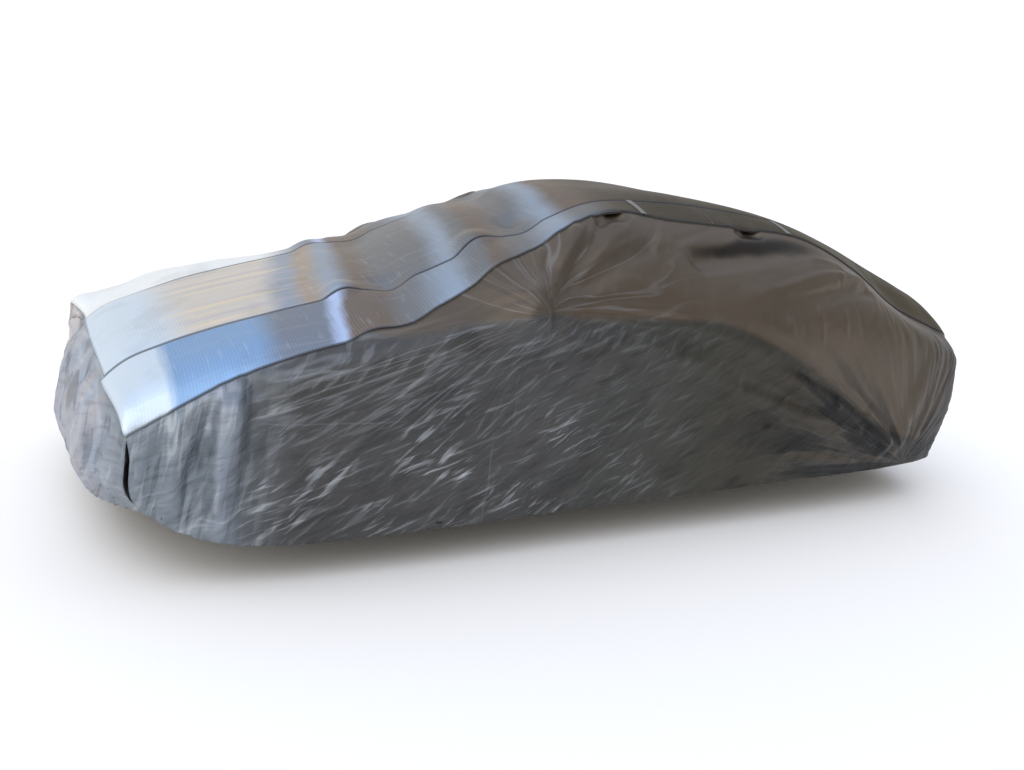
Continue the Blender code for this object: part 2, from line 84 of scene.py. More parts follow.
# Folds: where each starts and ends (along, line), half width, depth at both ends.
# Lines run from 0 at the crown to 5 at the hem, negative on the near side
mainFolds = (
    (1.08, -2.10, 1.08, -0.90, 0.10, 0.018, 0.018),
    (1.08, -0.90, 1.28, 2.20, 0.10, 0.018, 0.018),
    (1.24, -1.90, 1.27, -0.90, 0.12, -0.018, -0.018),
    (1.27, -0.90, 1.48, 2.20, 0.12, -0.018, -0.018),
    (1.61, -2.00, 1.64, -0.90, 0.13, 0.022, 0.024),
    (1.64, -0.90, 1.82, 1.60, 0.13, 0.024, 0.018),
    (1.80, -1.80, 1.86, -0.60, 0.11, -0.018, -0.020),
    (1.86, -0.60, 2.02, 1.60, 0.11, -0.020, -0.014),
    (0.70, 1.60, 1.30, 1.60, 0.35, 0.030, 0.030),
    (0.25, 2.20, 0.45, 2.20, 0.30, 0.090, 0.050),
    (1.90, 2.00, 2.30, 2.00, 0.35, -0.050, -0.030),
    (1.70, -2.75, 1.97, -2.15, 0.07, 0.012, 0.022),
    (1.72, -2.75, 2.08, -2.15, 0.06, -0.010, -0.020),
    (1.74, -2.80, 2.27, -2.40, 0.06, -0.015, -0.012),
    (1.12, -2.60, 1.60, -3.05, 0.07, 0.008, 0.014),
    (1.76, -3.02, 2.50, -3.08, 0.07, -0.022, -0.006),
    (2.10, -2.07, 2.20, -2.07, 0.05, -0.028, -0.028),
    (2.90, -2.06, 3.00, -2.06, 0.05, -0.024, -0.024),
    (2.56, -2.42, 3.20, -2.26, 0.09, -0.034, -0.016),
    (3.62, -2.35, 2.80, -2.75, 0.08, 0.020, 0.006),
    (3.62, -2.50, 3.00, -2.88, 0.07, -0.016, -0.004),
    (3.80, -4.70, 2.20, -3.25, 0.09, 0.030, 0.012),
    (3.76, -4.65, 2.38, -3.18, 0.08, -0.020, -0.010),
    (3.80, -4.60, 2.58, -3.10, 0.09, 0.030, 0.012),
    (3.76, -4.52, 2.80, -3.15, 0.08, -0.020, -0.010),
    (3.78, -4.45, 3.00, -3.12, 0.09, 0.028, 0.010),
    (3.92, -4.70, 4.12, -3.40, 0.10, 0.022, 0.006),
    (0.33, -3.00, 0.29, -4.70, 0.06, -0.016, -0.018),
    (0.46, -2.95, 0.43, -4.70, 0.07, -0.026, -0.026),
    (0.56, -3.05, 0.51, -4.80, 0.07, 0.030, 0.030),
    (0.67, -3.05, 0.64, -4.80, 0.08, -0.016, -0.012),
    (0.85, -4.30, 1.35, -3.15, 0.10, 0.012, 0.010),
    (1.20, -4.50, 1.75, -3.35, 0.10, -0.012, -0.010),
    (1.55, -4.60, 2.15, -3.55, 0.10, 0.012, 0.012),
    (1.70, 2.75, 2.10, 2.15, 0.08, 0.014, 0.020),
    (1.76, 3.02, 2.70, 3.10, 0.08, -0.020, -0.008),
    (3.85, 4.70, 2.60, 3.20, 0.10, 0.030, 0.012),
    (3.80, 4.60, 2.95, 3.15, 0.09, -0.020, -0.010),
    (3.82, 4.50, 3.20, 3.15, 0.10, 0.024, 0.010),
    (0.55, 2.60, 0.50, 4.70, 0.08, -0.024, -0.020),
    (0.70, 2.80, 0.66, 4.70, 0.07, 0.024, 0.020),
    (1.00, 4.40, 1.60, 3.30, 0.10, 0.014, 0.012),
)
frontFolds = (
    (-0.20, 1.90, -1.20, 1.80, 0.32, 0.070, 0.040),
    (-0.80, -1.45, -2.60, -1.30, 0.08, -0.024, -0.016),
    (-0.80, -1.00, -2.70, -0.90, 0.07, 0.018, 0.014),
    (-0.50, -0.45, -2.70, -0.50, 0.08, -0.020, -0.014),
    (-0.50, 0.20, -2.70, 0.10, 0.08, 0.018, 0.012),
    (-0.50, 0.95, -2.60, 0.85, 0.09, -0.022, -0.014),
)
rearFolds = (
    (0.20, -1.20, 2.80, -1.30, 0.09, -0.020, -0.014),
    (0.20, -0.35, 2.80, -0.25, 0.09, 0.020, 0.014),
    (0.20, 0.70, 2.80, 0.80, 0.09, -0.020, -0.016),
)
outPocket = {"x": 1.65, "y": 0.89, "z": 1.01, "reach": 0.25, "out": 0.11}


def refined(points, faces):
    chords = np.diff(points, axis=0)
    lengths = np.linalg.norm(chords, axis=-1, keepdims=True)
    slopes = chords / lengths
    inner = (slopes[:-1] * lengths[1:] + slopes[1:] * lengths[:-1]) / (lengths[:-1] + lengths[1:])
    tangents = np.concatenate([slopes[:1], inner, slopes[-1:]])
    rows = [points[:1]]
    for i, count in enumerate(faces):
        for t in np.arange(1, count + 1) / count:
            out, back = (1 + 2 * t) * (1 - t) ** 2, t * t * (3 - 2 * t)
            leave, arrive = t * (1 - t) ** 2, t * t * (t - 1)
            bend = leave * tangents[i] + arrive * tangents[i + 1]
            rows.append((out * points[i] + back * points[i + 1] + bend * lengths[i])[None])
    return np.concatenate(rows)


def bothHalves(near):
    return np.concatenate([near[::-1], near[1:] * (1, -1, 1)])


def numbered(faces, numbers):
    return np.interp(np.arange(sum(faces) + 1), np.cumsum([0] + list(faces)), numbers)


def stationPoints():
    rows = []
    for x, bow, crownZ, seamY, seamZ, edgeY, edgeZ, beltY, beltZ, fullY, fullZ, hemY, hemZ, hemBack in stations:
        side = x + bow
        rows.append(((x, 0, crownZ), (x + bow * (seamY / edgeY) ** 2, -seamY, seamZ), (side, -edgeY, edgeZ),
                     (side, -beltY, beltZ), (side, -fullY, fullZ), (side + hemBack, -hemY, hemZ)))
    return np.array(rows, float)


def endPoints(rows, corner):
    return np.array([((crownX, 0, crownZ), (seamX, -seamY, seamZ), tuple(at))
                     for (crownX, crownZ, seamX, seamY, seamZ), at in zip(rows, corner)])


def drapedForm():
    finer = cover["finer"]
    points = stationPoints()
    front = endPoints(frontRows, points[0, belt:])[::-1]
    rear = endPoints(rearRows, points[-1, belt:])
    facesAcross = tuple(finer * count for count in cover["facesAcross"])
    side = facesAcross[edge:]
    along = [finer * max(1, round(gap / cover["faceLength"])) for gap in np.diff(points[:, full, 0])]
    band = refined(np.concatenate([front, points[:, :belt], rear]), list(side[::-1]) + along + list(side))
    ends = sum(side)
    lines = np.concatenate([band[ends:-ends], refined(points[:, belt:], along)], axis=1)
    across = facesAcross[::-1] + facesAcross
    whole = refined(bothHalves(np.swapaxes(lines, 0, 1)), across)
    topFaces = facesAcross[:edge][::-1] + facesAcross[:edge]
    front = refined(bothHalves(np.swapaxes(band[:ends + 1], 0, 1)), topFaces)
    rear = refined(bothHalves(np.swapaxes(band[-ends - 1:], 0, 1)), topFaces)
    levels = numbered(side, range(len(side) + 1))
    topLines = numbered(topFaces, range(-edge, edge + 1))
    alongAt = numbered(along, [row[0] for row in stations])
    sheets = {
        "whole": (whole, alongAt, numbered(across, range(-hem, hem + 1))),
        "front": (front, -levels[::-1], topLines),
        "rear": (rear, levels, topLines),
    }
    joinEnds(whole, front, rear, ends)
    return sheets, ends


def joinEnds(whole, front, rear, ends):
    front[:, -1], rear[:, 0] = whole[ends:-ends, 0], whole[ends:-ends, -1]
    front[0], front[-1] = whole[:ends + 1, 0], whole[-ends - 1:, 0][::-1]
    rear[0], rear[-1] = whole[:ends + 1, -1][::-1], whole[-ends - 1:, -1]


def unit(vectors):
    return vectors / np.linalg.norm(vectors, axis=-1, keepdims=True)


def normalsOf(grid):
    return unit(np.cross(np.gradient(grid, axis=1), np.gradient(grid, axis=0)))


def place(grid, alongAt, lineAt, along, line):
    row = np.interp(along, alongAt, np.arange(len(alongAt)))
    column = np.interp(line, lineAt, np.arange(len(lineAt)))
    j, i = min(int(row), grid.shape[1] - 2), min(int(column), grid.shape[0] - 2)
    row, column = row - j, column - i
    near = (1 - row) * grid[i, j] + row * grid[i, j + 1]
    far = (1 - row) * grid[i + 1, j] + row * grid[i + 1, j + 1]
    return (1 - column) * near + column * far


def foldPush(sheet, folds, steps=7, sharp=0.0):
    # sharp 0 gives a soft swell, 1 a creased ridge
    grid, alongAt, lineAt = sheet
    push = np.zeros(grid.shape[:2])
    for startAlong, startLine, endAlong, endLine, width, startDepth, endDepth in folds:
        share = np.linspace(0, 1, steps)
        route = [place(grid, alongAt, lineAt, startAlong + (endAlong - startAlong) * t,
                       startLine + (endLine - startLine) * t) for t in share]
        low, high = np.min(route, axis=0) - width, np.max(route, axis=0) + width
        inside = np.all((grid > low) & (grid < high), axis=-1)
        near = grid[inside]
        if not len(near):
            continue
        nearest, depth = np.full(len(near), np.inf), np.zeros(len(near))
        for k in range(steps - 1):
            run = route[k + 1] - route[k]
            t = np.clip((near - route[k]) @ run / (run @ run), 0, 1)
            distance = np.linalg.norm(near - route[k] - t[:, None] * run, axis=-1)
            closer = distance < nearest
            nearest[closer], depth[closer] = distance[closer], (k + t[closer]) / (steps - 1)
        reach = np.clip(nearest / width, 0, 1)
        profile = (1 - sharp) * (1 - reach ** 2) ** 2 + sharp * (1 - reach) ** 1.6
        push[inside] += (startDepth + (endDepth - startDepth) * depth) * profile
    return push


def planeNoise(u, v, seed):
    # smooth noise from about -1 to 1
    i, j = np.floor(u).astype(np.int64), np.floor(v).astype(np.int64)
    a, b = u - i, v - j

    def corner(di, dj):
        mixed = ((i + di) * 374761393 + (j + dj) * 668265263 + seed * 974634777) & 0xffffffff
        mixed = ((mixed ^ (mixed >> 13)) * 1274126177) & 0xffffffff
        angle = ((mixed ^ (mixed >> 16)) & 0xffff) * (2 * math.pi / 65536)
        return np.cos(angle) * (a - di) + np.sin(angle) * (b - dj)

    ease = lambda t: t * t * t * (t * (6 * t - 15) + 10)
    low = corner(0, 0) + ease(a) * (corner(1, 0) - corner(0, 0))
    high = corner(0, 1) + ease(a) * (corner(1, 1) - corner(0, 1))
    return 1.5 * (low + ease(b) * (high - low))


def creased(u, v, seed, octaves=3):
    # sharp-ridged crumple, 0 in the facets' hollows and 1 on the creases
    total, size = 0, 1
    for k in range(octaves):
        warpU = planeNoise(u * 0.7 + 9, v * 0.7, seed + 50 + k)
        warpV = planeNoise(u * 0.7, v * 0.7 + 5, seed + 70 + k)
        field = planeNoise(u + 0.5 * warpU, v + 0.5 * warpV, seed + k)
        total = total + size * (1 - np.minimum(1, 1.8 * abs(field))) ** 1.5
        size *= 0.5
        u, v = u * 2.03 + 3.7, v * 1.9 + 1.3
    return total - 0.55


def smoothStep(low, high, value):
    t = np.clip((value - low) / (high - low), 0, 1)
    return t * t * (3 - 2 * t)


# Thinner creases: the same columns, sharper and shallower
fineFolds = (
    # fan from the drawn-out point up to the near strip and back along the belt
    (1.73, -2.68, 2.19, -2.23, 0.035, 0.004, 0.006),
    (1.76, -2.70, 1.98, -1.99, 0.030, 0.003, 0.006),
    (1.80, -2.66, 2.04, -2.06, 0.026, -0.003, -0.006),
    (1.86, -2.62, 2.16, -2.42, 0.035, -0.003, -0.005),
    (1.92, -2.60, 2.44, -2.27, 0.035, 0.003, 0.005),
    (2.44, -2.27, 2.72, -2.05, 0.032, -0.005, -0.006),
    (2.30, -2.42, 2.38, -2.24, 0.022, 0.006, 0.006),
    (2.06, -2.05, 2.00, -2.25, 0.022, 0.007, 0.003),
    (1.80, -2.76, 2.38, -2.72, 0.030, 0.004, 0.002),
    (1.82, -2.80, 2.42, -2.84, 0.026, -0.005, -0.003),
    (1.84, -2.88, 2.42, -2.98, 0.026, -0.008, -0.005),
    (1.90, -2.95, 2.50, -3.03, 0.026, 0.006, 0.003),
    (1.95, -2.98, 2.30, -3.12, 0.028, -0.006, -0.003),
    (2.10, -3.02, 2.60, -3.20, 0.030, 0.005, 0.003),
    (1.66, -2.72, 1.36, -2.52, 0.030, 0.006, 0.003),
    (1.62, -2.80, 1.16, -2.78, 0.030, -0.005, -0.003),
    (1.60, -2.60, 1.45, -2.16, 0.032, 0.006, 0.005),
    (1.66, -2.58, 1.62, -2.10, 0.028, -0.005, -0.005),
    (1.70, -2.60, 1.80, -2.06, 0.028, 0.004, 0.006),
    # fan from the rear end of the roof
    (3.46, -2.35, 2.96, -2.62, 0.032, -0.007, -0.004),
    (3.40, -2.48, 3.03, -2.73, 0.030, -0.006, -0.003),
    (3.50, -2.24, 2.81, -2.47, 0.034, 0.006, 0.003),
    (3.44, -2.42, 2.86, -2.72, 0.030, 0.005, 0.003),
    (3.38, -2.56, 2.80, -2.86, 0.030, 0.004, 0.002),
    (3.30, -2.66, 2.60, -2.90, 0.028, -0.003, -0.002),
    (3.55, -2.50, 3.30, -2.74, 0.030, 0.004, 0.002),
    # short upright creases under the belt
    (2.88, -2.90, 2.87, -3.14, 0.022, 0.003, 0.003),
    (3.01, -2.88, 3.01, -3.17, 0.024, 0.004, 0.003),
    (3.09, -2.90, 3.10, -3.14, 0.020, -0.003, -0.003),
    (3.21, -2.86, 3.22, -3.21, 0.024, 0.004, 0.004),
    (3.38, -2.86, 3.37, -3.21, 0.024, 0.004, 0.004),
    (3.48, -2.80, 3.50, -3.20, 0.024, -0.004, -0.003),
    # folds gathered low at the tail
    (3.86, -4.62, 3.39, -4.09, 0.050, 0.010, 0.010),
    (3.39, -4.09, 2.43, -3.21, 0.055, 0.009, 0.005),
    (3.59, -4.22, 3.18, -3.67, 0.050, -0.012, -0.012),
    (3.18, -3.67, 2.49, -3.21, 0.055, -0.012, -0.006),
    (3.62, -4.41, 2.77, -3.71, 0.050, -0.010, -0.008),
    (2.77, -3.71, 2.44, -3.50, 0.050, -0.008, -0.004),
    (3.59, -4.44, 2.69, -3.88, 0.045, 0.009, 0.006),
    (3.40, -4.38, 2.71, -4.09, 0.045, -0.009, -0.005),
    (3.78, -4.72, 2.98, -4.28, 0.045, 0.010, 0.006),
    (3.47, -4.66, 2.87, -4.41, 0.040, -0.009, -0.006),
    (3.60, -4.84, 2.70, -4.62, 0.040, 0.008, 0.004),
    (3.93, -4.66, 3.62, -4.16, 0.040, -0.010, -0.008),
    (3.62, -4.16, 3.17, -3.42, 0.045, -0.008, -0.004),
    (3.99, -4.60, 3.74, -3.80, 0.045, 0.009, 0.005),
    (4.02, -4.66, 3.88, -3.60, 0.035, -0.007, -0.004),
    (4.10, -4.60, 4.16, -3.70, 0.040, 0.007, 0.004),
    (4.14, -4.55, 4.30, -3.60, 0.040, -0.007, -0.004),
    # upright drapes and long lines behind the near front corner
    (0.53, -2.20, 0.50, -4.50, 0.030, 0.008, 0.008),
    (0.59, -2.20, 0.56, -4.25, 0.026, 0.007, 0.006),
    (0.49, -2.55, 0.41, -4.22, 0.040, -0.012, -0.012),
    (0.63, -2.30, 0.62, -3.79, 0.040, -0.012, -0.006),
    (0.35, -2.15, 0.30, -3.54, 0.036, -0.010, -0.006),
    (0.38, -2.60, 0.36, -4.60, 0.030, 0.007, 0.007),
    (0.58, -3.08, 0.75, -3.04, 0.018, 0.004, 0.004),
    (0.75, -3.04, 0.96, -3.00, 0.018, 0.004, 0.003),
    (0.70, -3.38, 0.91, -3.33, 0.018, 0.004, 0.004),
    (0.91, -3.33, 1.16, -3.25, 0.018, 0.004, 0.004),
    (1.16, -3.25, 1.43, -3.00, 0.018, 0.004, 0.004),
    (1.13, -3.75, 1.36, -3.50, 0.018, 0.004, 0.004),
    (1.36, -3.50, 1.59, -3.29, 0.018, 0.004, 0.003),
    (0.67, -4.59, 0.82, -4.19, 0.016, 0.006, 0.006),
    (0.76, -4.53, 0.91, -4.25, 0.016, 0.006, 0.006),
    (0.66, -4.94, 0.78, -4.69, 0.016, 0.006, 0.006),
    (0.75, -4.88, 0.92, -4.59, 0.016, 0.006, 0.005),
    (0.84, -4.80, 1.00, -4.50, 0.016, 0.005, 0.005),
)

# Crumple of the thin skin: fields of creases that run the way the cloth is pulled
crumple = {
    "slant": {"angle": 30, "across": 0.060, "along": 0.26, "depth": 0.0040},
    "gather": {"at": (4.06, 0.22), "turns": 12.0, "along": 1.1, "depth": 0.0045},
    "point": {"at": (1.71, 1.03), "turns": 5.0, "along": 0.5, "depth": 0.0035},
    "roofEnd": {"at": (3.74, 1.16), "turns": 6.0, "along": 0.6, "depth": 0.0030},
    "drape": {"across": 0.06, "along": 0.4, "depth": 0.0060},
    "fine": {"size": 0.13, "depth": 0.0022},
}


def sidePush(grid, lineAt):
    # the side skins' crumple, none on the top
    side = np.sign(lineAt)[:, None] + 0 * grid[..., 0]
    line = abs(lineAt)[:, None] + 0 * grid[..., 0]
    x, z = grid[..., 0] + 0.35 * (side > 0), grid[..., 2]
    low = smoothStep(2.85, 3.25, line)
    back = smoothStep(1.9, 2.9, x)
    nose = 1 - smoothStep(0.45, 0.85, x)
    slant = crumple["slant"]
    turn = math.radians(slant["angle"])
    lengthwise = x * math.cos(turn) + z * math.sin(turn)
    crosswise = -x * math.sin(turn) + z * math.cos(turn)
    patchy = 0.35 + 1.3 * smoothStep(-0.25, 0.45, planeNoise(x * 2.1, z * 3.0, 5))
    push = low * (1 - back) * (1 - nose) * slant["depth"] * patchy
    push = push * creased(lengthwise / slant["along"], crosswise / slant["across"], 3)

    def pulled(name, seed):
        field = crumple[name]
        dx, dz = x - field["at"][0], z - field["at"][1]
        far = np.hypot(dx, dz) + 0.02
        around = np.arctan2(dz, dx) * field["turns"] / math.pi * 2
        return np.minimum(1, far / 0.25) * field["depth"] * creased(around, far / field["along"], seed, 2)

    push += low * back * pulled("gather", 11)
    upper = 1 - low
    push += upper * (1 - smoothStep(2.3, 2.9, x)) * pulled("point", 21)
    push += upper * smoothStep(2.3, 2.9, x) * pulled("roofEnd", 31)
    drape = crumple["drape"]
    push += low * nose * drape["depth"] * creased((x - 0.1 * z) / drape["across"], z / drape["along"], 41, 2)
    fine = crumple["fine"]
    small = creased(x / fine["size"], z / fine["size"] * 1.2, 51, 2)
    push += fine["depth"] * (1 - 0.6 * back) * (small - 0.1)
    return push * smoothStep(2.04, 2.30, line)


def endPush(grid, levelAt, seed):
    y, z = grid[..., 1], grid[..., 2]
    drape, fine = crumple["drape"], crumple["fine"]
    push = drape["depth"] * creased((y + 0.15 * z) / drape["across"], z / drape["along"], seed, 2)
    push += fine["depth"] * creased(y / fine["size"], z / fine["size"], seed + 10, 2)
    rim = np.minimum(1, np.arange(len(grid)) / 10)[:, None]
    return push * smoothStep(0.0, 0.8, abs(levelAt))[None] * rim * rim[::-1]


def runningLength(points, axis=0):
    # how far each point lies from the first, along the sheet
    steps = np.linalg.norm(np.diff(points, axis=axis), axis=-1)
    return np.insert(np.cumsum(steps, axis=axis), 0, 0, axis=axis)


sheets, sideFaces = drapedForm()
whole, front, rear = (sheets[name][0] for name in ("whole", "front", "rear"))
away = np.linalg.norm(abs(whole) - [outPocket[name] for name in "xyz"], axis=-1)
push = foldPush(sheets["whole"], mainFolds)
push = push + outPocket["out"] * np.clip(1 - away / outPocket["reach"], 0, 1) ** 1.5
push += foldPush(sheets["whole"], fineFolds, 5, 0.7) + sidePush(whole, sheets["whole"][2])
endsPush = (foldPush(sheets["front"], frontFolds) + endPush(front, sheets["front"][1], 61),
            foldPush(sheets["rear"], rearFolds) + endPush(rear, sheets["rear"][1], 81))
whole = whole + push[..., None] * normalsOf(whole)
front = front + endsPush[0][..., None] * normalsOf(front)
rear = rear + endsPush[1][..., None] * normalsOf(rear)
joinEnds(whole, front, rear, sideFaces)
crown = len(whole) // 2
finer = cover["finer"]
coarseCrown = whole[crown, ::finer, 0]
roof = whole[crown, finer * int(np.argmin(abs(coarseCrown - cover["roofX"])))].copy()
whole, front, rear = whole - roof, front - roof, rear - roof
wholeNormals = normalsOf(whole)
lengthAlong = whole[..., 0] + roof[0]
widthAcross = runningLength(whole)
widthAcross -= widthAcross[crown]
print("form draped", whole.shape, front.shape, "roof", roof)


# Shader maths: a wrapped socket takes part in plain expressions
class Wire:
    def __init__(self, shader, socket):
        self.shader, self.socket = shader, socket

    def sum(self, operation, first, second=None):
        sockets = {0: first} if second is None else {0: first, 1: second}
        return self.shader.add("ShaderNodeMath", {"operation": operation}, sockets)

    def __abs__(self):
        return self.sum("ABSOLUTE", self)

    def sine(self):
        return self.sum("SINE", self)

    def turn(self, other):
        return self.sum("ARCTAN2", self, other)

    def above(self, low, high, smooth="SMOOTHSTEP"):
        return self.shader.add("ShaderNodeMapRange", {"interpolation_type": smooth},
                               {"Value": self, "From Min": low, "From Max": high})

    def below(self, low, high):
        return 1.0 - self.above(low, high)


for name, operation in (("add", "ADD"), ("sub", "SUBTRACT"), ("mul", "MULTIPLY"), ("truediv", "DIVIDE"),
                        ("pow", "POWER")):
    setattr(Wire, f"__{name}__", lambda self, other, kind=operation: self.sum(kind, self, other))
    setattr(Wire, f"__r{name}__", lambda self, other, kind=operation: self.sum(kind, other, self))


class Shader:
    def __init__(self, name, kept=bpy.data.materials):
        self.material = kept.new(name)
        self.material.use_nodes = True
        self.nodes, self.links = self.material.node_tree.nodes, self.material.node_tree.links
        self.principled = self.nodes.get("Principled BSDF") or self.nodes["Background"]

    def add(self, kind, settings=None, sockets=None, out=0):
        node = self.nodes.new(kind)
        for name, value in (settings or {}).items():
            setattr(node, name, value)
        for key, value in (sockets or {}).items():
            self.plug(node.inputs[key], value)
        if isinstance(out, range):
            return [Wire(self, node.outputs[k]) for k in out]
        return Wire(self, node.outputs[out])

    def plug(self, socket, value):
        if isinstance(value, Wire):
            self.links.new(value.socket, socket)
        elif isinstance(value, (tuple, list)) and len(value) == 3 and len(socket.default_value) == 4:
            socket.default_value = (*value, 1.0)
        else:
            socket.default_value = value

    def split(self, vector):
        return self.add("ShaderNodeSeparateXYZ", None, {0: vector}, range(3))

    def metres(self):
        uv = self.add("ShaderNodeUVMap", {"uv_map": "clothMetres"})
        return [uv] + self.split(uv)[:2]

    def place(self, kind="Object"):
        spot = self.add("ShaderNodeTexCoord", out=kind)
        return spot, self.split(spot)

    def vector(self, x, y, z=0.0):
        return self.add("ShaderNodeCombineXYZ", None, {0: x, 1: y, 2: z})

    def noise(self, vector, scale, detail=3.0, rough=0.55, twist=0.0):
        sockets = {"Vector": vector, "Scale": scale, "Detail": detail,
                   "Roughness": rough, "Distortion": twist}
        return self.add("ShaderNodeTexNoise", None, sockets)

    def mix(self, factor, first, second):
        return self.add("ShaderNodeMix", {"data_type": "RGBA"}, {0: factor, 6: first, 7: second}, 2)

    def bump(self, height, depth, strength=1.0):
        return self.add("ShaderNodeBump", None, {"Height": height, "Distance": depth, "Strength": strength})

    def finish(self, **sockets):
        for name, value in sockets.items():
            self.plug(self.principled.inputs[name.replace("_", " ")], value)
        return self.material


# Skin colours. The tints by region are painted reflection and painted shade on a silver film: warm above the
# belt, darker below it and towards the tail, lighter and bluish at the front
skinLook = {
    "upper": (0.10, 0.08, 0.06),        # above the belt, a warm painted reflection
    "lower": (0.05, 0.05, 0.04),        # the sides below it, painted shade
    "tail": (0.05, 0.045, 0.03),
    "front": (0.07, 0.07, 0.07),
    "nose": (0.18, 0.21, 0.24),         # the front corner and face, a bluish painted reflection
    # painted reflections on the front face (blue and rose) and on the far side of the nose
    "faceBlue": (0.28, 0.33, 0.40),
    "faceRose": (0.36, 0.35, 0.37),
    "farNose": (0.52, 0.47, 0.44),
    "column": (0.29, 0.33, 0.40),       # a painted highlight on the bright upright fold behind the corner
    "shade": (0.01, 0.01, 0.01),
    # the painted highlight of the creases
    "light": (0.46, 0.49, 0.53),
    # the inner face, a dark lining; in the corner tucks it stands as painted shade
    "inside": (0.02, 0.02, 0.02),
    "metallic": 0.55,
    "roughness": 0.40,
    "relief": 0.0034,
    # painted shade of the sunk patch under the rear strip
    "sunk": {"x": 0.42, "half": 0.46, "z": -0.205, "tall": 0.042, "rise": 0.06, "dark": 0.85},
    "columnX": -1.93,
    "foldedLevel": -0.835,              # z of the level crease from when it lay folded
    "foldedUpright": -0.96,             # and x of the upright one
    "folded": 0.09,                     # how strong the painted highlight along both is
    "point": (-0.81, -0.43),            # x and z where the cloth is drawn out to a point
    "gather": (1.56, -1.22),            # and where it gathers, low at the tail
}


